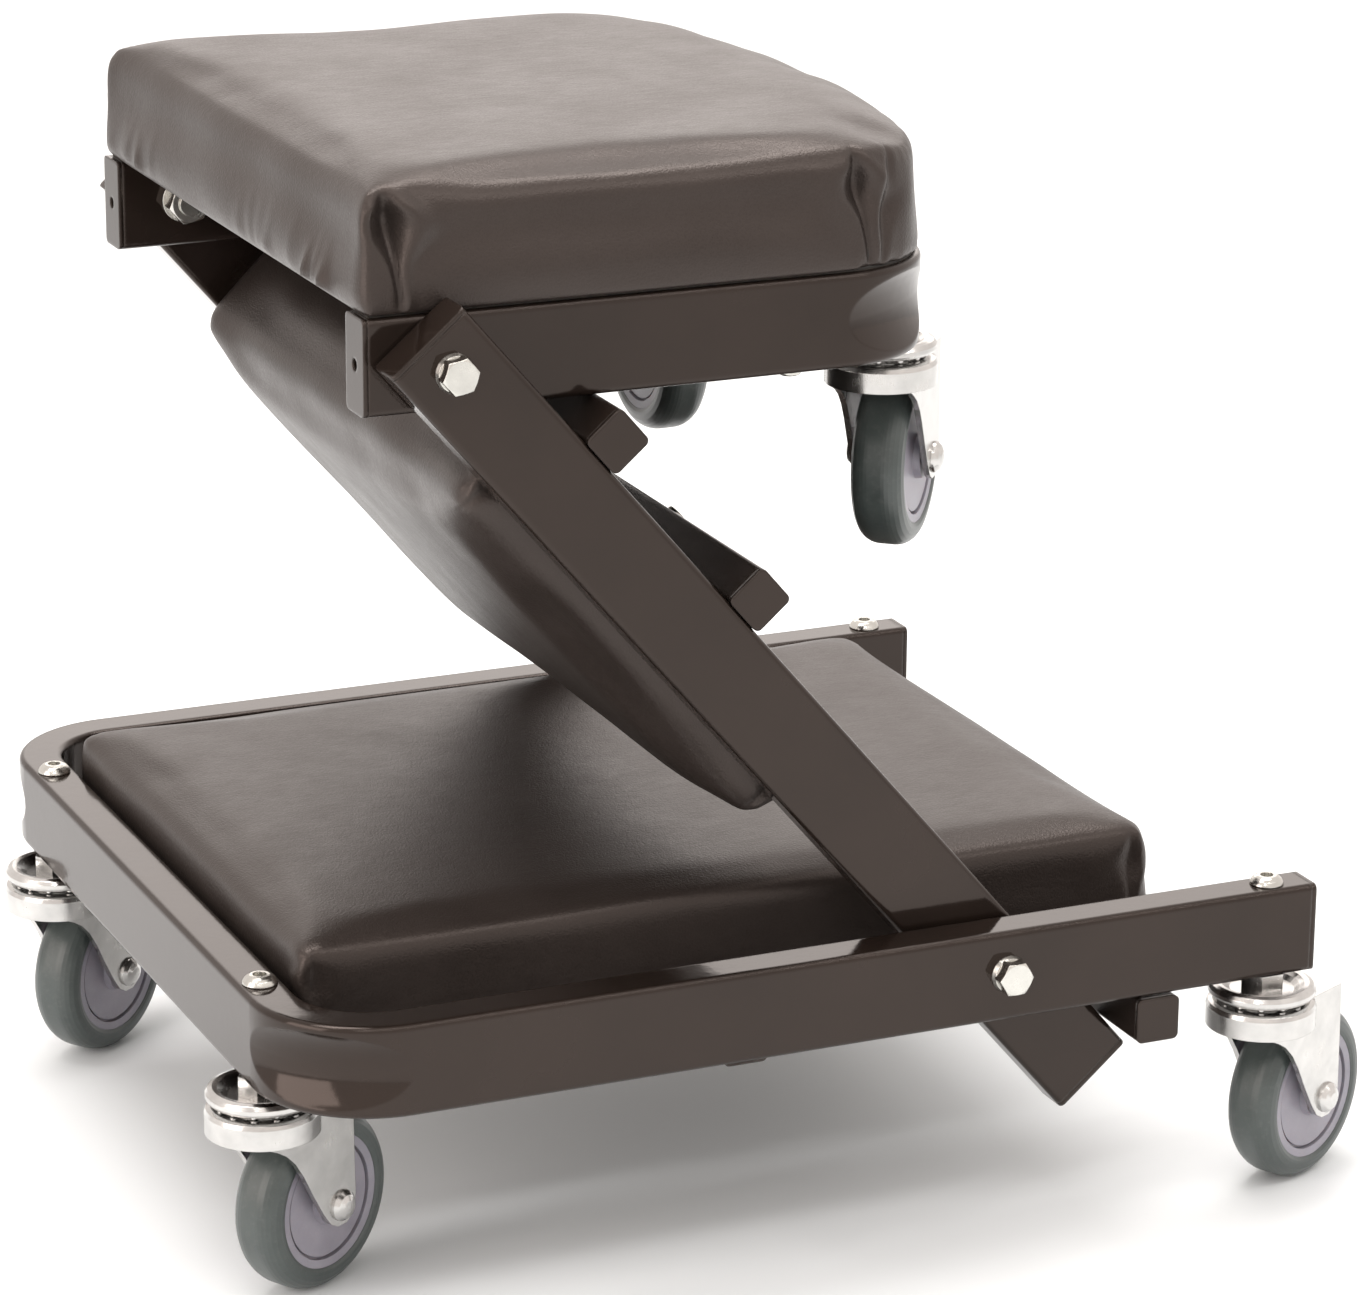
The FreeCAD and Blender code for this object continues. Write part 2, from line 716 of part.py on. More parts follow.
base_board_z = tube_z - cell("mid_bar_drop").value + bar.value
cushion_x = cell("base_cushion_start")
edge_y = cell("base_cushion_edge")
tab_y = (130.0, full_y - 130.0)
tab_x = 34.0
bracket_x = stop_x + bar.value - 14.0
mid_screw_x = mid_x + bar.value / 2
base_screws = [(mid_screw_x, y) for y in screw_y]
base_screws += [(tab_x + 6.0, y) for y in tab_y]
base_screws += [(bracket_x, y) for y in tab_y]
lower_board, lower_cushion = board_and_cushion(
    "lower_board", "lower_cushion", move(0, 0, base_board_z),
    cushion_x, edge_y, cushion_x + cell("base_cushion_long"), base_wide - edge_y,
    cell("base_cushion_high"), [(x, y, 2.0) for x, y in base_screws])

# The middle cushion lies on the side away from the crossbars.
link_x = cell("link_cushion_start")
link_edge = link_y + wide + 3.5
link_screws = [(x + bar.value / 2, y) for x in (upper_bar_x, lower_bar_x) for y in screw_y]
UNDER = LINK.multiply(move(0, full_y, -link_low)).multiply(turn(X_AXIS, 180))
middle_board, middle_cushion = board_and_cushion(
    "middle_board", "middle_cushion", UNDER,
    link_x, link_edge, link_x + cell("link_cushion_long"), base_wide - link_edge,
    cell("link_cushion_high"), [(x, y, 2.0) for x, y in link_screws])


def seat_outline(sketch, inset, back_x):
    """Outline of the seat: straight sides and end, with the arched closed end."""
    radius = bend + half_wide - inset
    near_y = seat_y.value + inset
    start = Vector(back_x, near_y, 0)
    before = Vector(seat_bend.x, near_y, 0)
    arch = arch_radius + half_wide - inset
    pieces = [
        line(start, before),
        arc_through(seat_centre, radius, 270, 270 + angle),
        arc_through(arch_centre, arch, angle - 90, 90 - angle),
        arc_through(mirrored_y(seat_centre), radius, 90 - angle, 90),
        line(mirrored_y(before), mirrored_y(start)),
        line(mirrored_y(start), start),
    ]
    for piece in pieces:
        sketch.addGeometry(piece, False)
    for i in range(len(pieces)):
        sketch.addConstraint(Constraint("Coincident", i, 2, (i + 1) % len(pieces), 1))
    for i in range(len(pieces)):
        sketch.addConstraint(Constraint("Block", i))


seat_top = SEAT.multiply(move(0, 0, high.value))
upper_board = body("upper_board", seat_top)
outline = sketch_on(upper_board, "Outline", "XY_Plane")
seat_outline(outline, skirt.value, skirt.value)
pad(upper_board, outline, board_thick)
seat_screws = [(x, y) for x in seat_screw_x for y in (side_y, full_y - side_y)]
drill(upper_board, "XY_Plane", 0.0, [(x, y, 2.0) for x, y in seat_screws], 6.0, back=True)
head_room = [(spot.x, spot.y, 10.0) for spot in seat_caster_spots]
drill(upper_board, "XY_Plane", 0.0, head_room, board_thick, back=True)
upper_cushion = body("upper_cushion", seat_top)
outline = sketch_on(upper_cushion, "Outline", "XY_Plane", 0.3)
seat_outline(outline, 0.0, -1.0)
seat_high = cell("seat_cushion_high")
pad(upper_cushion, outline, seat_high - 0.3)
round_edges(upper_cushion,
            lambda edge: all(abs(v.Z - seat_high.value) < 1e-3 for v in edge.Vertexes),
            cell("cushion_round"))
room = sketch_on(upper_cushion, "BoardRoom", "XY_Plane", 0.0)
seat_outline(room, skirt.value - 0.3, skirt.value - 0.3)
pocket(upper_cushion, room, board_thick + 0.3, back=True)


# Board tabs: two flat tabs on the closed end and two brackets on the stop bar.
mid_top = base_board_z - tube_z
tabs = []
for y in tab_y:
    flat = doc.addObject("Part::Box", "tab")
    flat.Length = 32.0
    flat.Width = 30.0
    flat.Height = 3.0
    flat.Placement = move(wide.value, y - 15.0, mid_top - 3.0)
    hole = rod("tab_hole", 2.0, 9.0, Vector(tab_x + 6.0, y, mid_top - 6.0))
    tabs.append(cut("drilled_tab", flat, hole))
for y in tab_y:
    shelf = doc.addObject("Part::Box", "shelf")
    shelf.Length = 31.0
    shelf.Width = 30.0
    shelf.Height = 3.0
    shelf.Placement = move(stop_x + bar.value + 3.0 - 31.0, y - 15.0, mid_top - 3.0)
    leg = doc.addObject("Part::Box", "leg")
    leg.Length = 3.0
    leg.Width = 30.0
    leg.Height = mid_top + 16.0
    leg.Placement = move(stop_x + bar.value, y - 15.0, -16.0)
    angle_piece = doc.addObject("Part::MultiFuse", "bracket")
    angle_piece.Shapes = [shelf, leg]
    hole = rod("tab_hole", 2.0, 9.0, Vector(bracket_x, y, mid_top - 6.0))
    tabs.append(cut("drilled_bracket", angle_piece, hole))
lower_board_tabs = group("lower_board_tabs", tabs, BASE)


# Fasteners, each along its own z with its head below zero.

def board_screw(position, grip, axis=Z_AXIS):
    """Pan head screw: its head sits under the grip and its point ends in the board."""
    head = rod("pan_head", 4.5, 2.4, Vector(0, 0, -2.4))
    dome = doc.addObject("Part::Fillet", "pan_dome")
    dome.Base = head
    doc.recompute()
    low = [i + 1 for i, edge in enumerate(head.Shape.Edges)
           if abs(edge.CenterOfMass.z + 2.4) < 1e-6 and edge.Closed]
    dome.Edges = [(i, 1.2, 1.2) for i in low[:1]]
    shank = rod("pan_shank", 2.0, grip + 6.0, Vector())
    whole = doc.addObject("Part::MultiFuse", "board_screw")
    whole.Shapes = [dome, shank]
    whole.Placement = Placement(position, Rotation(Z_AXIS, axis))
    return whole


screws = [board_screw(Vector(x, y, -cell("mid_bar_drop").value), bar) for x, y in base_screws[:2]]
screws += [board_screw(Vector(x, y, mid_top - 3.0), as_dim(3.0)) for x, y in base_screws[2:]]
lower_board_screws = group("lower_board_screws", screws, BASE)
screws = [board_screw(Vector(x, full_y - y, -link_low + bar.value), bar, Vector(0, 0, -1))
          for x, y in link_screws]
middle_board_screws = group("middle_board_screws", screws, LINK)
screws = [board_screw(Vector(x, y, 0), high) for x, y in seat_screws]
upper_board_screws = group("upper_board_screws", screws, SEAT)


def hexagon(name, flats, height, position, axis, bore=None):
    """Hexagonal prism, with a bore if one is given."""
    prism = doc.addObject("Part::Prism", name)
    prism.Polygon = 6
    prism.Circumradius = flats / math.sqrt(3)
    prism.Height = height
    dome = doc.addObject("Part::Cone", name + "_dome")
    dome.Radius1 = flats / 2 * 1.14 + height * 1.6
    dome.Radius2 = flats / 2 * 0.98
    dome.Height = height
    shaped = doc.addObject("Part::MultiCommon", name + "_shaped")
    shaped.Shapes = [prism, dome]
    whole = shaped
    if bore is not None:
        whole = cut(name + "_bored", shaped, rod(name + "_bore", bore, height + 2, Vector(0, 0, -1)))
    whole.Placement = Placement(position, Rotation(Z_AXIS, axis))
    return whole


def pivot_set(prefix, centre_x, centre_z, outer_y, grip):
    """Flange bolts, washers and lock nuts of one pair of pivots."""
    bolts, washers, nuts = [], [], []
    radius = cell("pivot_radius")
    for side in (1, -1):
        axis = Vector(0, side, 0)
        face = outer_y if side > 0 else full_y - outer_y
        spot = Vector(centre_x, face, centre_z)
        flange = doc.addObject("Part::Cone", prefix + "_flange")
        flange.Radius1 = 7.1
        flange.Radius2 = 8.0
        flange.Height = 2.0
        flange.Placement = Placement(spot - axis * 2.0, Rotation(Z_AXIS, axis))
        head = hexagon(prefix + "_head", 13.0, 5.8, spot - axis * 1.6, -axis)
        shank = rod(prefix + "_shank", radius, grip + 12.4, spot - axis, axis)
        bolt = doc.addObject("Part::MultiFuse", prefix + "_bolt")
        bolt.Shapes = [flange, head, shank]
        bolts.append(bolt)
        for start in (wide.value, grip + 0.3):
            disc = rod(prefix + "_disc", 9.5, 1.2, spot + axis * start, axis)
            eye = rod(prefix + "_eye", radius, 3.2, spot + axis * (start - 1), axis)
            washers.append(cut(prefix + "_washer", disc, eye))
        start = grip + 0.3 + 1.2
        nuts.append(hexagon(prefix + "_nut", 16.0, 8.5, spot + axis * start, axis, radius))
    return bolts, washers, nuts


grip = wide.value * 2 + gap.value
bolts, washers, nuts = pivot_set("lower_pivot", lower_pivot.x, pivot_up.value, 0.0, grip)
lower_pivot_bolts = group("lower_pivot_bolts", bolts, BASE)
lower_pivot_washers = group("lower_pivot_washers", washers, BASE)
lower_pivot_nuts = group("lower_pivot_nuts", nuts, BASE)
bolts, washers, nuts = pivot_set("upper_pivot", cell("pivot_span").value, 0.0, link_y.value, grip)
upper_pivot_bolts = group("upper_pivot_bolts", bolts, LINK)
upper_pivot_washers = group("upper_pivot_washers", washers, LINK)
upper_pivot_nuts = group("upper_pivot_nuts", nuts, LINK)


# Casters. Each one's own z is the swivel axis with zero at the underside of the tube, and
# its own x points to the wheel.
cup = cell("cup_radius")
sheet_t = cell("fork_sheet")
inner_y = cell("fork_inside") / 2
king = cell("king_radius")
trail = cell("trail")
axle_r = cell("axle_radius")
wheel_r = cell("wheel_radius")
axle_z = wheel_r - cell("caster_high")
race_r = cell("race_radius")
ball = cell("ball_radius")
CUP_TOP = 12.5
CUP_LOW = 23.5
RACE_LOW = 10.5
BALL_MID = 11.5
DISH = 8.2


def make_fork(label, placement):
    made = body(label, placement)
    profile = sketch_on(made, "Cup", "XZ_Plane")
    bore = king + 0.08
    polygon(profile, [
        (bore, -CUP_TOP), (cup - 2.5, -CUP_TOP), (cup - 0.7, -CUP_TOP - 0.8),
        (cup, -CUP_TOP - 2.6), (cup, -CUP_LOW), (cup - sheet_t, -CUP_LOW),
        (cup - sheet_t, -CUP_TOP - 3.4), (cup - sheet_t - 1.0, -CUP_TOP - sheet_t),
        (bore, -CUP_TOP - sheet_t)])
    spin(made, profile, "V_Axis")
    back = sketch_on(made, "Roof", "XY_Plane", -CUP_TOP)
    rectangle(back, 12.0, -(inner_y + sheet_t), trail + 7.5, inner_y + sheet_t)
    pad(made, back, sheet_t, back=True)
    for offset, reverse in ((inner_y, False), (-inner_y, True)):
        side = sketch_on(made, "Leg", "XZ_Plane", -offset)
        leg_outline(side)
        pad(made, side, sheet_t, back=not reverse)
    room = sketch_on(made, "WheelRoom", "XY_Plane", -CUP_TOP - sheet_t)
    rectangle(room, 3.0, -inner_y, cup + 6, inner_y)
    pocket(made, room, 14.0)
    drill(made, "XZ_Plane", 0.0, [(trail, axle_z, axle_r)], inner_y * 4, both=True)
    seat_ring = sketch_on(made, "BallSeat", "XZ_Plane")
    circle(seat_ring, race_r, -BALL_MID, ball + 0.12)
    spin(made, seat_ring, "V_Axis", cut=True)
    return made


def leg_outline(sketch):
    """Side of the fork: from the cup's skirt back to the roof and down to the axle."""
    top = -CUP_TOP
    rear = trail + 8.6
    boss = 9.0
    ends = [
        (-14.0, top - 1.0), (trail + 7.5, top), (rear, axle_z.value + 2.0),
        (trail + 6.9, axle_z - 5.8), (trail + 2.6, axle_z - boss + 0.4),
        (trail - 2.6, axle_z - boss + 0.4), (trail - 6.8, axle_z - 6.2),
        (trail - 11.0, axle_z - 0.5), (trail - 17.0, axle_z + 9.5),
        (trail - 22.5, axle_z + 19.5), (trail - 27.5, axle_z + 26.8),
        (trail - 33.0, axle_z + 32.2), (trail - 38.5, axle_z + 35.6), (-15.5, -CUP_LOW)]
    polygon(sketch, ends)


def make_axle(label, placement):
    made = body(label, placement)
    profile = sketch_on(made, "Profile", "XZ_Plane")
    outer = inner_y + sheet_t
    polygon(profile, [
        (0, -(outer + 4.2)), (2.6, -(outer + 3.9)), (4.9, -(outer + 2.9)), (6.4, -(outer + 1.2)),
        (6.6, -outer), (axle_r, -outer), (axle_r, outer), (6.6, outer), (6.4, outer + 1.2),
        (4.9, outer + 2.9), (2.6, outer + 3.9), (0, outer + 4.2)])
    spin(made, profile, "V_Axis")
    return made


def make_hub(label, placement):
    made = body(label, placement)
    profile = sketch_on(made, "Profile", "XZ_Plane")
    bore = axle_r + cell("run_fit")
    rim = cell("hub_radius")
    right = [(bore, -12.6), (9.0, -12.6), (9.6, -9.6), (rim - 4.6, -9.2), (rim - 4.6, -7.6),
             (rim - 3.4, -7.6), (rim - 3.4, -9.9), (rim, -10.3)]
    polygon(profile, right + [(x, -as_dim(z)) for x, z in reversed(right)])
    spin(made, profile, "V_Axis")
    return made


def make_tyre(label, placement):
    made = body(label, placement)
    profile = sketch_on(made, "Profile", "XZ_Plane")
    rim = cell("hub_radius")
    half = cell("wheel_wide") / 2
    right = [(rim, -(half - 0.6)), (rim + 1.6, -half)]
    for degrees in (0, 20, 38, 54, 68, 80, 90):
        rise = 6.8 * (1 - math.sin(math.radians(degrees)))
        share = math.cos(math.radians(degrees))
        right.append((wheel_r - rise, -(half * share + 3.0 * (1 - share))))
    polygon(profile, right + [(x, -as_dim(z)) for x, z in reversed(right)])
    spin(made, profile, "V_Axis")
    return made


casters = [
    ("rear_right", BASE, base_caster_spots[0], 30.0),
    ("rear_left", BASE, base_caster_spots[1], 36.0),
    ("front_right", BASE, base_caster_spots[2], 26.0),
    ("front_left", BASE, base_caster_spots[3], 20.0),
    ("seat_right", SEAT, seat_caster_spots[0], 50.0),
    ("seat_left", SEAT, seat_caster_spots[1], 90.0),
]
for name, frame_place, spot, heading in casters:
    place = frame_place.multiply(move(spot.x, spot.y, 0)).multiply(turn(Z_AXIS, heading))
    make_fork("fork_" + name, place)
    wheel = place.multiply(move(trail.value, 0, axle_z.value)).multiply(turn(X_AXIS, 90))
    make_axle("axle_" + name, wheel)
    make_hub("hub_" + name, wheel)
    make_tyre("tyre_" + name, wheel)


def turned_piece(name, points):
    """Solid of revolution about z."""
    profile = loose_sketch(name + "_profile", Placement(Vector(), Rotation(X_AXIS, 90)))
    polygon(profile, points)
    made = doc.addObject("Part::Revolution", name)
    made.Source = profile
    made.Axis = Z_AXIS
    made.Base = Vector()
    made.Angle = 360.0
    made.Solid = True
    return made


def make_race(spot):
    ring = turned_piece("race", [
        (king, -DISH), (13.4, -DISH), (15.6, -6.3), (17.6, -5.0), (19.6, -4.7), (21.4, -5.4),
        (22.5, -7.0), (22.6, -8.6), (21.8, -9.9), (20.4, -RACE_LOW), (king, -RACE_LOW)])
    track = doc.addObject("Part::Torus", "race_track")
    track.Radius1 = race_r.value
    track.Radius2 = ball.value + 0.12
    track.Placement = move(0, 0, -BALL_MID)
    whole = cut("raced_ring", ring, track)
    whole.Placement = Placement(spot, Rotation())
    return whole


def make_kingpin(spot):
    nut = doc.addObject("Part::Prism", "king_hex")
    nut.Polygon = 6
    nut.Circumradius = 17.0 / math.sqrt(3)
    nut.Height = DISH
    nut.Placement = move(0, 0, -DISH)
    shank = rod("king_shank", king, 9.4, Vector(0, 0, -DISH - 9.4))
    foot = rod("king_foot", 11.5, 2.4, Vector(0, 0, -DISH - 9.4))
    solid = doc.addObject("Part::MultiFuse", "king_solid")
    solid.Shapes = [nut, shank, foot]
    bore = rod("king_bore", cell("screw_radius"), 24.0, Vector(0, 0, -23.0))
    whole = cut("kingpin", solid, bore)
    whole.Placement = Placement(spot, Rotation())
    return whole


def make_caster_screw(spot):
    top = high.value
    head = turned_piece("button_head", [
        (0, top), (6.9, top), (7.1, top + 0.5), (6.9, top + 1.2), (6.2, top + 2.3),
        (5.2, top + 3.2), (4.0, top + 3.7), (2.7, top + 3.8), (2.7, top + 1.6), (0, top + 1.0)])
    shank = rod("screw_shank", cell("screw_radius"), high + 15.0, Vector(0, 0, -15.0))
    whole = doc.addObject("Part::MultiFuse", "caster_screw")
    whole.Shapes = [head, shank]
    whole.Placement = Placement(spot, Rotation())
    return whole


def make_balls(spot):
    balls = []
    for i in range(12):
        angle_i = math.radians(30.0 * i)
        one = doc.addObject("Part::Sphere", "ball")
        one.Radius = ball.value
        one.setExpression("Radius", ball.text)
        reach_x = race_r.value * math.cos(angle_i)
        reach_y = race_r.value * math.sin(angle_i)
        one.Placement = Placement(spot + Vector(reach_x, reach_y, -BALL_MID), Rotation())
        balls.append(one)
    return balls


for prefix, frame_place, spots in (("lower", BASE, base_caster_spots),
                                   ("upper", SEAT, seat_caster_spots)):
    group(prefix + "_top_races", [make_race(spot) for spot in spots], frame_place)
    group(prefix + "_kingpins", [make_kingpin(spot) for spot in spots], frame_place)
    group(prefix + "_caster_screws", [make_caster_screw(spot) for spot in spots], frame_place)
    group(prefix + "_swivel_balls", [one for spot in spots for one in make_balls(spot)], frame_place)

doc.recompute()

NODES = [item for item in doc.Objects
         if item.Name.startswith(("Body_", "Drilled_", "Group_"))]
troubles = [item.Name for item in doc.Objects
            if "Invalid" in item.State or "Error" in item.State]
if troubles:
    raise SystemExit("failed objects: %s" % ", ".join(troubles))
for item in NODES:
    if item.Shape.isNull() or not item.Shape.isValid() or not item.Shape.Solids:
        raise SystemExit("bad shape: %s" % item.Label)
for item in NODES:
    box = item.Shape.BoundBox
    print("%-24s solids %2d  x %7.2f %7.2f  y %7.2f %7.2f  z %7.2f %7.2f" % (
        item.Label, len(item.Shape.Solids), box.XMin, box.XMax, box.YMin, box.YMax,
        box.ZMin, box.ZMax))
    item.Shape.exportStep("parts/%s.step" % item.Label)
whole = FreeCAD.BoundBox()
for item in NODES:
    whole.add(item.Shape.BoundBox)
print("whole", whole, "nodes", len(NODES))
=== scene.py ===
"""Looks of a folding mechanics creeper: paint, plating, tyres and the three vinyl cushions.

The CAD frame gives every size and place. Lengths are in metres, in the frame's own axes:
+Z up, +X towards the open end of the base, -Y towards the camera.
"""
import json
import math
import random
from collections import namedtuple

import bmesh
import bpy
import numpy as np
from mathutils import Matrix, Quaternion, Vector


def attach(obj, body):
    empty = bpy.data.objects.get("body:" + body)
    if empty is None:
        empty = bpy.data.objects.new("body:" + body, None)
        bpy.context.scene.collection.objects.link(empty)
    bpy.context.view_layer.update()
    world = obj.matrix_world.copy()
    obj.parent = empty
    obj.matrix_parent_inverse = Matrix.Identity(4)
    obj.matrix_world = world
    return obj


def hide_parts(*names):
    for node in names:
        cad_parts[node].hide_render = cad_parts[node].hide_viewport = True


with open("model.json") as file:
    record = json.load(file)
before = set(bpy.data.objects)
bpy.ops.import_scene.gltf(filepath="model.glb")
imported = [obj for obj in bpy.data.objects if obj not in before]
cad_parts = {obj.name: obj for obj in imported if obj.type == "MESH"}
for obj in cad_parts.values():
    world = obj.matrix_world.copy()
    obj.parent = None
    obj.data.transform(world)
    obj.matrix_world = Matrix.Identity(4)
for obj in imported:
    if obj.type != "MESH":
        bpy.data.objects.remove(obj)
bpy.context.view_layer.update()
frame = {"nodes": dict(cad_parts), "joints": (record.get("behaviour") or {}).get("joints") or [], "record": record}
NODES = frame["nodes"]
MM = 0.001

# Camera: where it stands, where it looks, and its lens.
CAMERA_PLACE = Vector((-0.8141, -1.8592, 0.8527))
CAMERA_AZIMUTH = -23.99
CAMERA_ELEVATION = 17.70
CAMERA_ROLL = 0.45
CAMERA_LENS = 130.8

# Studio: surroundings and floor.
WORLD_COLOUR = (1.0, 0.93, 0.885, 1)
WORLD_STRENGTH = 1.13
FLOOR_COLOUR = (0.86, 0.90, 0.92, 1)
FLOOR_ROUGHNESS = 0.75
FLOOR_HALF = 8.0

# Sharp edges of plated parts, and how much of an edge counts as worn.
PLATED_EDGE = 0.5 * MM
WORN_FROM, WORN_TO = 0.02, 0.25

# Cushions: their outline and mesh before they are stuffed. The top starts lower than the
# CAD solid's by a share of the crown.
SAMPLE_STEP = 3 * MM
VOXEL = 4.5 * MM
FOOT_ROUND = 1.5 * MM
FOOT_STEPS, EDGE_STEPS = 3, 6
CROWN_SUNK = 0.4

# Cushions: the cloth simulation, and how its result is evened out.
CLOTH = {
    "quality": 4,
    "mass": 0.3,
    "tension_stiffness": 12,
    "compression_stiffness": 12,
    "shear_stiffness": 6,
    "bending_stiffness": 1.5,
    "use_pressure": True,
    "uniform_pressure_force": 4.0,
    "vertex_group_mass": "held",
}
FRAMES = 20
HELD_HEIGHT = 7 * MM
RELAX_ROUNDS = 14
TINY = 1e-9

# Cushions: the zone around a dart that is split finer, how far in from the outline each
# kind of fold reaches, and the small folds and waves.
REFINE_WIDE = 20 * MM
REFINE_DEEP = 14 * MM
DART_REACH = 16 * MM
TUCK_REACH = 26 * MM
GATHER_REACH = 18 * MM
WAVE_REACH = 20 * MM
WAVE_SIZE = 1.1 * MM
WAVES = 6
FOLDS_IN_GATHER = 9

# A dart is a deep fold. It pulls in by depth, most at its belly (0 at the foot, 1 at the
# top), and its foot lies further anticlockwise by lean. Its lip, a share of depth, is
# raised before the fold, or after it where negative. A gather is a group of small folds at
# the foot, up to size high and mostly within spread of its place. Both stand on the
# outline at u along X and v along Y, counted from the low side, or from the high side
# where negative.
Dart = namedtuple("Dart", "u v lean depth lip belly")
Gather = namedtuple("Gather", "u v spread size")
LOW_SIDE = 0.0
HIGH_SIDE = -0.1 * MM


def aim(obj, direction, roll=0.0):
    """Turns an object so that its -Z looks along a direction, rolled by some degrees."""
    obj.rotation_mode = "QUATERNION"
    turn = Quaternion((0, 0, 1), math.radians(roll))
    obj.rotation_quaternion = direction.to_track_quat("-Z", "Y") @ turn


def make_camera():
    camera = bpy.data.objects.new("Camera", bpy.data.cameras.new("Camera"))
    bpy.context.scene.collection.objects.link(camera)
    azimuth = math.radians(CAMERA_AZIMUTH)
    elevation = math.radians(CAMERA_ELEVATION)
    level = math.cos(elevation)
    view = Vector((-math.sin(azimuth) * level, math.cos(azimuth) * level, -math.sin(elevation)))
    camera.location = CAMERA_PLACE
    aim(camera, view, CAMERA_ROLL)
    camera.data.lens = CAMERA_LENS
    bpy.context.scene.camera = camera


def softbox(name, place, target, width, height, radiance, colour):
    """A rectangular studio light that gives the same brightness at any size."""
    light = bpy.data.lights.new(name, "AREA")
    light.shape = "RECTANGLE"
    light.size = width
    light.size_y = height
    light.energy = radiance * math.pi * width * height
    light.color = colour
    obj = bpy.data.objects.new(name, light)
    bpy.context.scene.collection.objects.link(obj)
    obj.location = place
    aim(obj, Vector(target) - Vector(place))


def make_studio():
    """Warm white surroundings, a pale floor, three softboxes and a strip for the edges."""
    world = bpy.data.worlds.new("Studio")
    world.use_nodes = True
    background = world.node_tree.nodes["Background"]
    background.inputs["Color"].default_value = WORLD_COLOUR
    background.inputs["Strength"].default_value = WORLD_STRENGTH
    bpy.context.scene.world = world
    bpy.context.scene.view_settings.view_transform = "Standard"
    softbox("LeftBox", (-2.2, -0.5, 0.9), (0, 0, 0.25), 1.4, 1.5, 3.1, (1.0, 0.90, 0.85))
    softbox("TopBox", (-0.1, 0.3, 2.2), (0, 0, 0.2), 2.4, 0.6, 8.0, (1.0, 0.95, 0.92))
    softbox("BackBox", (1.1, 2.4, 1.3), (0, 0, 0.3), 2.2, 1.0, 1.2, (1.0, 0.94, 0.90))
    softbox("StripBox", (0.2, -1.4, 2.1), (0, 0, 0.3), 3.0, 0.10, 13.0, (1.0, 0.97, 0.95))
    half = FLOOR_HALF
    mesh = bpy.data.meshes.new("Floor")
    corners = [(-half, -half, 0), (half, -half, 0), (half, half, 0), (-half, half, 0)]
    mesh.from_pydata(corners, [], [(0, 1, 2, 3)])
    floor = bpy.data.objects.new("Floor", mesh)
    bpy.context.scene.collection.objects.link(floor)
    material = bpy.data.materials.new("PaleFloor")
    material.use_nodes = True
    shader = material.node_tree.nodes["Principled BSDF"]
    shader.inputs["Base Color"].default_value = FLOOR_COLOUR
    shader.inputs["Roughness"].default_value = FLOOR_ROUGHNESS
    mesh.materials.append(material)


# ---------------------------------------------------------------- materials

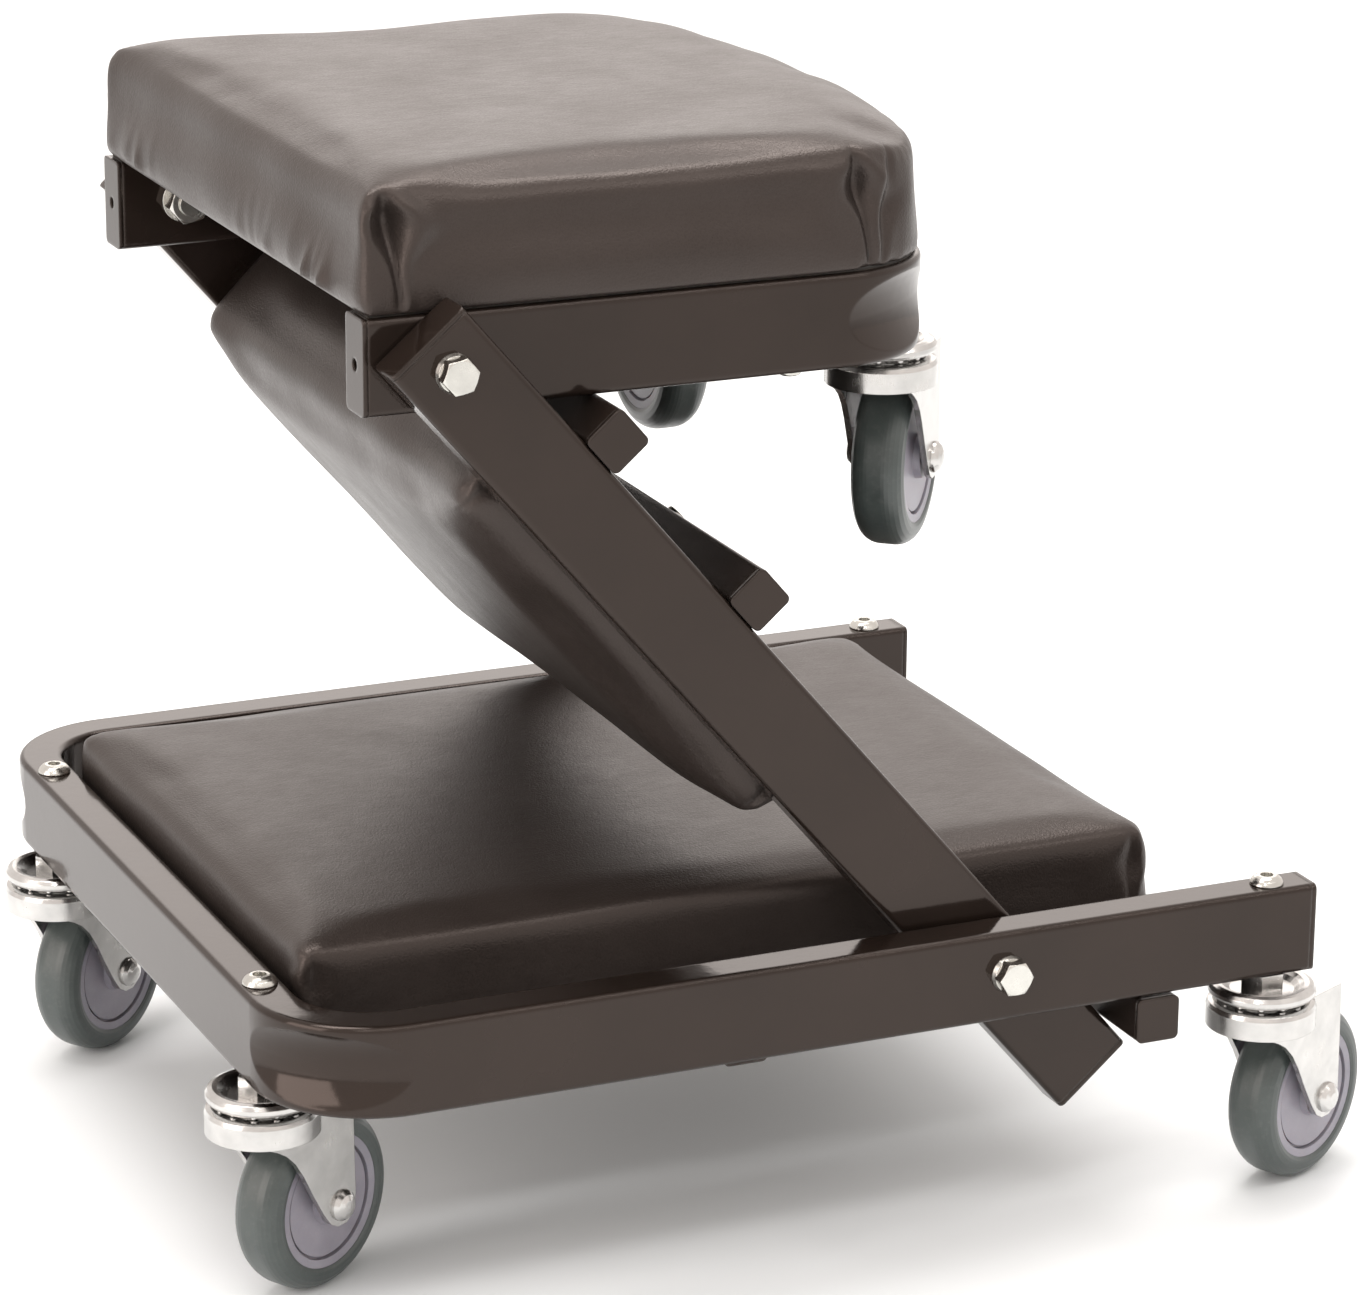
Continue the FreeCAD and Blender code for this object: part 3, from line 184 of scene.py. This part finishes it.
class Finish:
    """A procedural material on one Principled shader, in the object's own metres."""

    def __init__(self, name, **settings):
        self.material = bpy.data.materials.new(name)
        self.material.use_nodes = True
        self.tree = self.material.node_tree
        self.shader = self.tree.nodes["Principled BSDF"]
        self.place = self.add("ShaderNodeTexCoord").outputs["Object"]
        self.normal = self.add("ShaderNodeNewGeometry").outputs["Normal"]
        self.wire(**settings)

    def add(self, kind, **settings):
        made = self.tree.nodes.new(kind)
        for key, value in settings.items():
            setattr(made, key, value)
        return made

    def set(self, node, socket, value):
        """Links an output, or sets a plain value or colour."""
        if isinstance(value, bpy.types.NodeSocket):
            self.tree.links.new(value, node.inputs[socket])
        elif isinstance(value, tuple) and len(value) == 3 and node.inputs[socket].type == "RGBA":
            node.inputs[socket].default_value = (*value, 1)
        else:
            node.inputs[socket].default_value = value

    def noise(self, size, detail=3.0, rough=0.55, stretch=None):
        """Noise from 0 to 1 whose features are about size across."""
        made = self.add("ShaderNodeTexNoise")
        self.set(made, "Vector", self.stretched(stretch))
        self.set(made, "Scale", 1 / size)
        self.set(made, "Detail", detail)
        self.set(made, "Roughness", rough)
        return made.outputs["Fac"]

    def cells(self, size, feature="F1"):
        """Distance in a field of cells, each about size across."""
        made = self.add("ShaderNodeTexVoronoi", feature=feature)
        self.set(made, "Vector", self.place)
        self.set(made, "Scale", 1 / size)
        return made.outputs["Distance"]

    def stretched(self, stretch):
        """The object's own place, scaled along each axis: below 1 draws features out."""
        if stretch is None:
            return self.place
        made = self.add("ShaderNodeVectorMath", operation="MULTIPLY")
        self.set(made, 0, self.place)
        self.set(made, 1, stretch)
        return made.outputs["Vector"]

    def ramp(self, value, low, high, to_low=0.0, to_high=1.0):
        """Maps low..high of a value to to_low..to_high, held at both ends."""
        made = self.add("ShaderNodeMapRange")
        sockets = ("Value", "From Min", "From Max", "To Min", "To Max")
        for socket, number in zip(sockets, (value, low, high, to_low, to_high)):
            self.set(made, socket, number)
        return made.outputs["Result"]

    def math(self, operation, first, second=0.5):
        made = self.add("ShaderNodeMath", operation=operation)
        self.set(made, 0, first)
        self.set(made, 1, second)
        return made.outputs["Value"]

    def mix(self, share, first, second):
        """Mixes two colours by share: 0 gives the first, 1 the second."""
        made = self.add("ShaderNodeMix", data_type="RGBA")
        factor, colour_a, colour_b, colour_out = 0, 6, 7, 2
        for socket, value in ((factor, share), (colour_a, first), (colour_b, second)):
            self.set(made, socket, value)
        return made.outputs[colour_out]

    def facing(self, axis):
        """How far the surface faces along an axis, -1 to 1."""
        made = self.add("ShaderNodeVectorMath", operation="DOT_PRODUCT")
        self.set(made, 0, self.normal)
        self.set(made, 1, axis)
        return made.outputs["Value"]

    def bump(self, height, depth, strength=1.0, under=None):
        """Relief of a given depth in metres, laid over another bump."""
        made = self.add("ShaderNodeBump")
        self.set(made, "Height", height)
        self.set(made, "Distance", depth)
        self.set(made, "Strength", strength)
        if under is not None:
            self.set(made, "Normal", under)
        return made.outputs["Normal"]

    def rounded(self, radius):
        """Normals that soften a sharp edge, as a real pressed or cut edge is."""
        made = self.add("ShaderNodeBevel", samples=4)
        self.set(made, "Radius", radius)
        return made.outputs["Normal"]

    def worn(self, radius):
        """1 on sharp edges, broken up by noise, and 0 elsewhere."""
        made = self.add("ShaderNodeVectorMath", operation="DOT_PRODUCT")
        self.set(made, 0, self.rounded(radius))
        self.set(made, 1, self.normal)
        edge = self.math("SUBTRACT", 1.0, made.outputs["Value"])
        rough_edge = self.math("MULTIPLY", edge, self.ramp(self.noise(6 * MM), 0.35, 0.75))
        return self.ramp(rough_edge, WORN_FROM, WORN_TO)

    def wire(self, **sockets):
        """Sets the shader's sockets by name and gives the finished material."""
        for socket, value in sockets.items():
            self.set(self.shader, socket.replace("_", " "), value)
        return self.material


def black_paint(name="BlackPowderCoat", cut_ends=False):
    """Glossy black coat with orange peel, specks and scuffs; dull where the ends are sawn."""
    f = Finish(name, Specular_Tint=(1.0, 0.85, 0.78), IOR=1.46)
    cloud = f.noise(60 * MM, 4)
    speck = f.ramp(f.noise(1.6 * MM, 2), 0.62, 0.8)
    scuff = f.ramp(f.noise(9 * MM, 6, 0.7, (1, 1, 6)), 0.6, 0.74)
    worn = f.worn(1.2 * MM)
    colour = f.mix(f.ramp(cloud, 0.3, 0.7), (0.010, 0.0070, 0.0056), (0.016, 0.0110, 0.0088))
    colour = f.mix(f.math("MULTIPLY", worn, 0.35), colour, (0.09, 0.085, 0.08))
    roughness = f.ramp(cloud, 0.3, 0.7, 0.07, 0.11)
    roughness = f.math("ADD", roughness, f.math("MULTIPLY", scuff, 0.07))
    roughness = f.math("ADD", roughness, f.math("MULTIPLY", speck, 0.04))
    if cut_ends:
        sideways = f.math("ABSOLUTE", f.facing((0, 1, 0)))
        cut = f.ramp(sideways, 0.8, 0.95)
        bare = f.math("MULTIPLY", cut, f.ramp(f.noise(2.5 * MM, 5), 0.4, 0.7))
        colour = f.mix(bare, colour, (0.05, 0.047, 0.046))
        roughness = f.math("ADD", roughness, f.math("MULTIPLY", cut, 0.38))
        lines = f.noise(0.9 * MM, 4, 0.6, (1, 1, 3))
        saw = f.bump(lines, 0.25 * MM, 0.7, f.rounded(1.2 * MM))
        normal = f.bump(f.noise(3.2 * MM, 2), 0.04 * MM, 0.5, saw)
    else:
        peel = f.bump(f.noise(3.2 * MM, 2), 0.035 * MM, 0.5, f.rounded(1.6 * MM))
        normal = f.bump(f.noise(32 * MM, 2), 0.14 * MM, 0.4, peel)
    return f.wire(Base_Color=colour, Roughness=roughness, Normal=normal)


def vinyl():
    """Fine-grained black upholstery vinyl with a soft satin sheen."""
    f = Finish("BlackVinyl", Specular_Tint=(1.0, 0.86, 0.80), IOR=1.48)
    grain = f.cells(0.95 * MM)
    crease = f.cells(2.3 * MM, "DISTANCE_TO_EDGE")
    cloud = f.noise(45 * MM, 5)
    streak = f.noise(2.0 * MM, 4, 0.6, (0.25, 1.6, 1))
    colour = f.mix(f.ramp(cloud, 0.3, 0.7), (0.015, 0.0115, 0.0102), (0.023, 0.0180, 0.0160))
    pale = f.math("MULTIPLY", f.ramp(grain, 0.1, 0.6), 0.5)
    colour = f.mix(pale, colour, (0.028, 0.0225, 0.0200))
    roughness = f.math("ADD", f.ramp(cloud, 0.3, 0.7, 0.30, 0.37),
                       f.ramp(streak, 0.3, 0.7, -0.03, 0.04))
    roughness = f.math("ADD", roughness, f.ramp(grain, 0.1, 0.6, -0.02, 0.04))
    fine = f.bump(grain, 0.11 * MM, 0.55)
    lines = f.bump(f.ramp(crease, 0.0, 0.12), 0.06 * MM, 0.4, fine)
    normal = f.bump(f.noise(14 * MM, 4), 0.35 * MM, 0.35, lines)
    return f.wire(Base_Color=colour, Roughness=roughness, Normal=normal)


def plywood():
    """Black-stained plywood: long grain under a thin dull stain, paler worn edges."""
    f = Finish("BlackPlywood", IOR=1.45)
    grain = f.noise(3.5 * MM, 6, 0.6, (0.06, 1, 1))
    bands = f.noise(30 * MM, 4, 0.5, (0.12, 1, 1))
    colour = f.mix(f.ramp(bands, 0.3, 0.7), (0.012, 0.011, 0.010), (0.024, 0.020, 0.017))
    colour = f.mix(f.ramp(grain, 0.5, 0.8), colour, (0.045, 0.034, 0.025))
    colour = f.mix(f.math("MULTIPLY", f.worn(1.0 * MM), 0.4), colour, (0.16, 0.12, 0.08))
    roughness = f.ramp(grain, 0.3, 0.7, 0.5, 0.7)
    normal = f.bump(grain, 0.15 * MM, 0.6)
    return f.wire(Base_Color=colour, Roughness=roughness, Normal=normal)


def tyre_rubber():
    """Dark green-grey polyurethane: satin, with dusty scuffs all over."""
    f = Finish("TyrePolyurethane", Coat_Weight=0.12, Coat_Roughness=0.25, IOR=1.5)
    cloud = f.noise(16 * MM, 4)
    dust = f.ramp(f.noise(2.6 * MM, 6, 0.65), 0.52, 0.72)
    colour = f.mix(f.ramp(cloud, 0.3, 0.7), (0.045, 0.056, 0.054), (0.066, 0.079, 0.076))
    colour = f.mix(f.math("MULTIPLY", dust, 0.25), colour, (0.13, 0.135, 0.13))
    roughness = f.math("ADD", f.ramp(cloud, 0.3, 0.7, 0.30, 0.42), f.math("MULTIPLY", dust, 0.1))
    normal = f.bump(f.noise(1.1 * MM, 4), 0.05 * MM, 0.5, f.rounded(0.5 * MM))
    return f.wire(Base_Color=colour, Roughness=roughness, Normal=normal)


def hub_plastic():
    """Mauve-grey moulded nylon with a faint eggshell texture."""
    f = Finish("HubNylon", Subsurface_Weight=0.05, IOR=1.5)
    cloud = f.noise(12 * MM, 3)
    fleck = f.ramp(f.noise(0.8 * MM, 3), 0.55, 0.75)
    colour = f.mix(f.ramp(cloud, 0.3, 0.7), (0.235, 0.222, 0.262), (0.285, 0.270, 0.312))
    colour = f.mix(f.math("MULTIPLY", fleck, 0.2), colour, (0.36, 0.345, 0.39))
    roughness = f.ramp(cloud, 0.3, 0.7, 0.32, 0.44)
    normal = f.bump(f.noise(0.6 * MM, 2), 0.03 * MM, 0.5, f.rounded(0.4 * MM))
    return f.wire(Base_Color=colour, Roughness=roughness, Normal=normal)


def plated(name, light, dark, smooth, rough, brushed=(1, 1, 1)):
    """Bright metal: cloudy colour, fine brushing, faint stains, small pits, soft edges."""
    f = Finish(name, Metallic=1.0)
    cloud = f.noise(9 * MM, 4)
    lines = f.noise(0.7 * MM, 4, 0.6, brushed)
    pits = f.ramp(f.noise(0.5 * MM, 3), 0.66, 0.8)
    stain = f.ramp(f.noise(22 * MM, 5, 0.65), 0.5, 0.7)
    colour = f.mix(f.ramp(cloud, 0.3, 0.7), dark, light)
    colour = f.mix(f.math("MULTIPLY", stain, 0.10), colour, (0.46, 0.44, 0.39))
    colour = f.mix(f.math("MULTIPLY", pits, 0.3), colour, (0.30, 0.30, 0.30))
    roughness = f.math("ADD", f.ramp(cloud, 0.3, 0.7, smooth, rough),
                       f.ramp(lines, 0.3, 0.7, -0.02, 0.05))
    roughness = f.math("ADD", roughness, f.math("MULTIPLY", stain, 0.06))
    normal = f.bump(lines, 0.03 * MM, 0.4, f.rounded(PLATED_EDGE))
    normal = f.bump(f.noise(7 * MM, 2), 0.10 * MM, 0.3, normal)
    return f.wire(Base_Color=colour, Roughness=roughness, Normal=normal)


def paint_nodes():
    """Gives every CAD node its finish by its material slot in the record."""
    plain = black_paint()
    sawn = black_paint("BlackPaintSawnEnds", cut_ends=True)
    finishes = {
        "black_paint": plain,
        "plywood": plywood(),
        "tyre": tyre_rubber(),
        "hub": hub_plastic(),
        "bright_zinc": plated("BrightZinc", (0.64, 0.63, 0.615), (0.52, 0.515, 0.505),
                              0.14, 0.24, (1, 1, 0.15)),
        "zinc_fasteners": plated("ZincFasteners", (0.66, 0.65, 0.61), (0.52, 0.51, 0.48),
                                 0.16, 0.26),
        "ball_steel": plated("BallSteel", (0.80, 0.80, 0.80), (0.66, 0.66, 0.66),
                             0.05, 0.10),
        "vinyl": vinyl(),
    }
    for part in frame["record"]["subparts"]:
        node = NODES[part["node"]]
        finish = finishes[part["material_slot"]]
        if part["node"].endswith(("crossbar", "crossbars")):
            finish = sawn
        node.data.materials.clear()
        node.data.materials.append(finish)
    return finishes


# ----------------------------------------------------------------- cushions

def smooth_step(value):
    """Eases from 0 to 1 as a value goes from 0 to 1, and stays there outside."""
    held = np.clip(value, 0, 1)
    return held * held * (3 - 2 * held)


def link_tilt():
    """Place and tilt of the middle section, from its two hinges."""
    hinges = {joint["name"]: joint for joint in frame["joints"]}
    low = Vector(hinges["middle_hinge"]["pos_m"])
    high = Vector(hinges["seat_hinge"]["pos_m"])
    along = (high - low).normalized()
    across = Vector((0, 1, 0))
    out = along.cross(across)
    return Matrix((along, across, out)).transposed().to_4x4()


def local_points(node, local):
    """A CAD node's vertices in a cushion's own axes: along, across, outwards."""
    points = np.array([v.co for v in NODES[node].data.vertices], float)
    back = np.array(local.inverted())
    return points @ back[:3, :3].T + back[:3, 3]


def hull(points):
    """Convex outline of flat points, anticlockwise, to a hundredth of a millimetre."""
    ordered = sorted({(round(x, 5), round(y, 5)) for x, y in points})
    halves = []
    for run in (ordered, ordered[::-1]):
        half = []
        for p in run:
            while len(half) > 1:
                (ax, ay), (bx, by) = half[-2], half[-1]
                if (bx - ax) * (p[1] - ay) - (by - ay) * (p[0] - ax) > 0:
                    break
                half.pop()
            half.append(p)
        halves += half[:-1]
    return np.array(halves)


class Outline:
    """The closed outline of flat points, evenly sampled, with its outward directions."""

    def __init__(self, flat, inset):
        self.low, self.high = flat.min(axis=0), flat.max(axis=0)
        corners = hull(flat)
        closed = np.vstack([corners, corners[:1]])
        steps = np.linalg.norm(np.diff(closed, axis=0), axis=1)
        run = np.concatenate([[0], np.cumsum(steps)])
        self.length = run[-1]
        self.count = int(self.length / SAMPLE_STEP)
        self.step = self.length / self.count
        at = np.arange(self.count) * self.length / self.count
        self.points = np.stack([np.interp(at, run, closed[:, i]) for i in (0, 1)], axis=1)
        tangent = np.roll(self.points, -2, axis=0) - np.roll(self.points, 2, axis=0)
        tangent /= np.linalg.norm(tangent, axis=1)[:, None]
        self.out = np.stack([tangent[:, 1], -tangent[:, 0]], axis=1)
        self.points -= self.out * inset

    def inset(self, amount):
        """The samples, moved inwards."""
        return self.points - self.out * amount

    def nearest(self, flat):
        """For flat points: the index of the nearest sample and how far inside they are."""
        index = np.empty(len(flat), int)
        block = 4000
        for start in range(0, len(flat), block):
            part = flat[start:start + block]
            gaps = np.linalg.norm(part[:, None, :] - self.points[None], axis=2)
            index[start:start + block] = gaps.argmin(axis=1)
        inside = np.einsum("ij,ij->i", self.points[index] - flat, self.out[index])
        return index, inside

    def at(self, u, v):
        """Index of the sample nearest to the place of a dart or gather."""
        place = [(low if way >= 0 else high) + way
                 for way, low, high in zip((u, v), self.low, self.high)]
        return int(np.linalg.norm(self.points - np.array(place), axis=1).argmin())


def loft(outline, low, high, edge):
    """Closed form: rounded foot, straight side and rounded top edge, on one outline."""
    rings = []
    for i in range(FOOT_STEPS + 1):
        angle = math.radians(90 / FOOT_STEPS * i)
        rise = FOOT_ROUND * (1 - math.cos(angle))
        rings.append((FOOT_ROUND * (1 - math.sin(angle)), low + rise))
    for i in range(EDGE_STEPS + 1):
        angle = math.radians(90 / EDGE_STEPS * i)
        drop = edge * (1 - math.sin(angle))
        rings.append((edge * (1 - math.cos(angle)), high - drop))
    vertices, faces = [], []
    for inset, level in rings:
        vertices += [(x, y, level) for x, y in outline.inset(inset)]
    n = outline.count
    for ring in range(len(rings) - 1):
        a, b = ring * n, (ring + 1) * n
        faces += [(a + i, a + (i + 1) % n, b + (i + 1) % n, b + i) for i in range(n)]
    faces.append(tuple(reversed(range(n))))
    faces.append(tuple(range(len(vertices) - n, len(vertices))))
    return vertices, faces


def baked(obj, kind, name, **settings):
    """Applies one modifier of a kind to the object's mesh."""
    modifier = obj.modifiers.new(name, kind)
    for key, value in settings.items():
        setattr(modifier, key, value)
    graph = bpy.context.evaluated_depsgraph_get()
    mesh = bpy.data.meshes.new_from_object(obj.evaluated_get(graph))
    obj.modifiers.clear()
    old, obj.data = obj.data, mesh
    bpy.data.meshes.remove(old)


def positions(mesh):
    """A mesh's vertices as rows of an array."""
    points = np.empty(len(mesh.vertices) * 3)
    mesh.vertices.foreach_get("co", points)
    return points.reshape(-1, 3)


def put(mesh, points):
    """Moves a mesh's vertices to the rows of an array."""
    mesh.vertices.foreach_set("co", points.ravel())


def relaxed(mesh, step):
    """Evens out each point's step with its neighbours', to take small creases away."""
    ends = np.empty(len(mesh.edges) * 2, int)
    mesh.edges.foreach_get("vertices", ends)
    first, second = ends.reshape(-1, 2).T
    count = len(step)
    degree = np.bincount(ends, minlength=count)[:, None]
    for _ in range(RELAX_ROUNDS):
        total = np.stack([np.bincount(first, step[second, axis], count)
                          + np.bincount(second, step[first, axis], count)
                          for axis in range(3)], axis=1)
        step = 0.5 * step + 0.5 * total / degree
    return step


def blow_up(obj, held_below, most):
    """Cloth under pressure, pinned at its foot; no point moves further than most."""
    start = positions(obj.data)
    group = obj.vertex_groups.new(name=CLOTH["vertex_group_mass"])
    held = [int(i) for i in np.flatnonzero(start[:, 2] < held_below)]
    group.add(held, 1.0, "REPLACE")
    cloth = obj.modifiers.new("Cloth", "CLOTH")
    for key, value in CLOTH.items():
        setattr(cloth.settings, key, value)
    cloth.settings.effector_weights.gravity = 0
    for number in range(1, FRAMES + 1):
        bpy.context.scene.frame_set(number)
    graph = bpy.context.evaluated_depsgraph_get()
    moved = positions(obj.evaluated_get(graph).data)
    obj.modifiers.clear()
    obj.vertex_groups.clear()
    bpy.context.scene.frame_set(1)
    step = relaxed(obj.data, moved - start)
    size = np.maximum(np.linalg.norm(step, axis=1)[:, None], TINY)
    start += step * np.minimum(1, most * np.tanh(size / most) / size)
    put(obj.data, start)


def refine(obj, chosen):
    """Splits the faces whose corners are all chosen, so that narrow folds have points."""
    mesh = bmesh.new()
    mesh.from_mesh(obj.data)
    inside = {v for v, wanted in zip(mesh.verts, chosen) if wanted}
    edges = [e for e in mesh.edges if e.verts[0] in inside and e.verts[1] in inside]
    bmesh.ops.subdivide_edges(mesh, edges=edges, cuts=1, use_grid_fill=True, smooth=0.6)
    bmesh.ops.triangulate(mesh, faces=[f for f in mesh.faces if len(f.verts) > 4])
    mesh.to_mesh(obj.data)
    mesh.free()


class Side:
    """Places of a cushion's points around its outline, and moves of them."""

    def __init__(self, obj, outline, foot, top):
        self.obj, self.outline = obj, outline
        self.foot, self.top = foot, top
        self.read()

    def read(self):
        """Takes the points from the mesh again, after it has been split finer."""
        self.points = positions(self.obj.data)
        self.index, self.inside = self.outline.nearest(self.points[:, :2])
        self.out = self.outline.out[self.index]
        self.height = (self.points[:, 2] - self.foot) / (self.top - self.foot)
        tangent = np.stack([-self.out[:, 1], self.out[:, 0]], axis=1)
        beside = self.points[:, :2] - self.outline.points[self.index]
        self.run = self.index * self.outline.step + np.einsum("ij,ij->i", beside, tangent)

    def along(self, place):
        """Distance around the outline from a sample to every point."""
        whole = self.outline.length
        return (self.run - place * self.outline.step + whole / 2) % whole - whole / 2

    def skin(self, reach):
        """1 on the side, fading to 0 at some reach in from the outline and at the foot."""
        return smooth_step(1 - self.inside / reach) * smooth_step(self.height * 9)

    def push(self, amount, reach):
        """Moves the skin outwards by some amount at each point."""
        self.points[:, :2] += self.out * (amount * self.skin(reach))[:, None]


def press_dart(side, dart):
    """Pulls one dart into the side, with its lip, and tucks the top edge in above it."""
    height = side.height
    away = side.along(side.outline.at(dart.u, dart.v)) - dart.lean * (1 - height)
    # The fold is widest and deepest at its belly, and fades out at the top edge.
    hollow = np.exp(-((height - dart.belly) / 0.21) ** 2)
    wide = MM * (1.6 + 4.2 * hollow)
    deep = dart.depth * (0.25 + 0.75 * hollow) * smooth_step((1.04 - height) / 0.2)
    pull = -deep * np.exp(-(away / wide) ** 2)
    # The lip stands close to the fold, and a low swelling further off on the other side.
    way = np.sign(dart.lip)
    lip = (away + way * 1.9 * wide) / (1.3 * wide)
    pull += abs(dart.lip) * deep * np.exp(-lip ** 2)
    swelling = (away - way * 15 * MM) / (8 * MM)
    pull += 0.22 * deep * np.exp(-swelling ** 2)
    side.push(pull, DART_REACH)
    # Above the fold the top edge sinks.
    over = np.exp(-(away / (1.8 * wide)) ** 2)
    tuck = 0.35 * deep * over * smooth_step((height - 0.7) / 0.3)
    side.points[:, 2] -= tuck * smooth_step(1 - side.inside / TUCK_REACH)


def press_gather(side, gather, dice):
    """Raises small slanting folds around one place, fading upwards from the foot."""
    centre = side.outline.at(gather.u, gather.v)
    for _ in range(FOLDS_IN_GATHER):
        place = centre + dice.gauss(0, gather.spread / side.outline.step * 0.5)
        slant = dice.uniform(-0.7, 0.7)
        away = side.along(place) - slant * side.height * 14 * MM
        wide = dice.uniform(2.6, 5.0) * MM
        tall = dice.uniform(0.3, 0.8)
        fade = smooth_step(1 - side.height / tall) * smooth_step(side.height * 8)
        ridge = gather.size * dice.uniform(0.5, 1.0) * np.exp(-(away / wide) ** 2)
        side.push(ridge * fade, GATHER_REACH)


def press_waves(side, dice):
    """Makes the whole side gently uneven."""
    waves = np.zeros(len(side.points))
    for _ in range(WAVES):
        turns = dice.randint(5, 17)
        start = dice.uniform(0, 2 * math.pi)
        around = 2 * math.pi * turns * side.run / side.outline.length
        waves += np.sin(around + start + 2.0 * side.height) / WAVES
    loose = smooth_step(side.height * 5) * smooth_step((1.1 - side.height) * 3)
    side.push(WAVE_SIZE * waves * loose, WAVE_REACH)


def sculpt(obj, outline, foot, top, darts, gathers, seed):
    """Presses darts, gathers and soft waves into the vinyl, each where it is pulled."""
    side = Side(obj, outline, foot, top)
    near = np.zeros(len(side.points), bool)
    for dart in darts:
        beside = np.abs(side.along(outline.at(dart.u, dart.v))) < REFINE_WIDE
        near |= beside & (side.inside < REFINE_DEEP)
    refine(obj, near)
    side.read()
    for dart in darts:
        press_dart(side, dart)
    dice = random.Random(seed)
    for gather in gathers:
        press_gather(side, gather, dice)
    press_waves(side, dice)
    put(obj.data, side.points)


def make_cushion(name, node, body, local, material, form, darts, gathers, seed):
    """A stuffed cushion in place of its CAD solid, in its own axes."""
    inset, edge, crown = form
    points = local_points(node, local)
    foot, top = points[:, 2].min(), points[:, 2].max()
    outline = Outline(points[:, :2], inset)
    vertices, faces = loft(outline, foot, top - CROWN_SUNK * crown, edge)
    mesh = bpy.data.meshes.new(name)
    mesh.from_pydata(vertices, [], faces)
    obj = bpy.data.objects.new(name, mesh)
    bpy.context.scene.collection.objects.link(obj)
    baked(obj, "REMESH", "Voxel", mode="VOXEL", voxel_size=VOXEL)
    blow_up(obj, foot + HELD_HEIGHT, crown)
    baked(obj, "SUBSURF", "Smooth", levels=1, render_levels=1)
    sculpt(obj, outline, foot, top, darts, gathers, seed)
    obj.data.polygons.foreach_set("use_smooth", [True] * len(obj.data.polygons))
    obj.data.materials.clear()
    obj.data.materials.append(material)
    obj.matrix_world = local
    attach(obj, body)
    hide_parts(node)


make_camera()
make_studio()
finishes = paint_nodes()
upright = Matrix.Identity(4)

# Each form is the cushion's inset from its CAD solid, top edge radius and crown.
make_cushion(
    "base_cushion_vinyl", "lower_cushion", "base", upright, finishes["vinyl"],
    form=(0.3 * MM, 6 * MM, 3.5 * MM),
    darts=[Dart(9 * MM, LOW_SIDE, 3 * MM, 2.6 * MM, 0.5, 0.62),
           Dart(9 * MM, HIGH_SIDE, -3 * MM, 2.2 * MM, 0.5, 0.62),
           Dart(-9 * MM, LOW_SIDE, -3 * MM, 2.6 * MM, -0.5, 0.62),
           Dart(-9 * MM, HIGH_SIDE, 3 * MM, 2.2 * MM, -0.5, 0.62)],
    gathers=[Gather(LOW_SIDE, 40 * MM, 30 * MM, 0.8 * MM),
             Gather(LOW_SIDE, -40 * MM, 30 * MM, 0.7 * MM),
             Gather(HIGH_SIDE, 40 * MM, 30 * MM, 0.8 * MM)],
    seed=3)
make_cushion(
    "middle_cushion_vinyl", "middle_cushion", "middle", link_tilt(), finishes["vinyl"],
    form=(0.3 * MM, 8 * MM, 7 * MM),
    darts=[Dart(9 * MM, LOW_SIDE, 4 * MM, 2.8 * MM, 0.5, 0.55),
           Dart(-9 * MM, LOW_SIDE, -4 * MM, 3.6 * MM, -0.5, 0.55),
           Dart(9 * MM, HIGH_SIDE, 4 * MM, 2.8 * MM, 0.5, 0.55),
           Dart(-9 * MM, HIGH_SIDE, -4 * MM, 3.2 * MM, -0.5, 0.55)],
    gathers=[Gather(LOW_SIDE, 50 * MM, 40 * MM, 0.8 * MM),
             Gather(HIGH_SIDE, 50 * MM, 40 * MM, 0.8 * MM)],
    seed=5)
make_cushion(
    "seat_cushion_vinyl", "upper_cushion", "seat", upright, finishes["vinyl"],
    form=(0.3 * MM, 7 * MM, 5 * MM),
    darts=[Dart(13 * MM, LOW_SIDE, 5 * MM, 10 * MM, -0.4, 0.68),
           Dart(13 * MM, HIGH_SIDE, -5 * MM, 9 * MM, 0.4, 0.68),
           Dart(208 * MM, LOW_SIDE, 6 * MM, 9.0 * MM, -0.3, 0.64),
           Dart(232 * MM, LOW_SIDE, -10 * MM, 3.6 * MM, 0.3, 0.5),
           Dart(208 * MM, HIGH_SIDE, -6 * MM, 9.0 * MM, 0.3, 0.64)],
    gathers=[Gather(LOW_SIDE, 45 * MM, 34 * MM, 2.2 * MM),
             Gather(LOW_SIDE, 120 * MM, 60 * MM, 0.9 * MM),
             Gather(LOW_SIDE, -45 * MM, 34 * MM, 1.3 * MM)],
    seed=7)
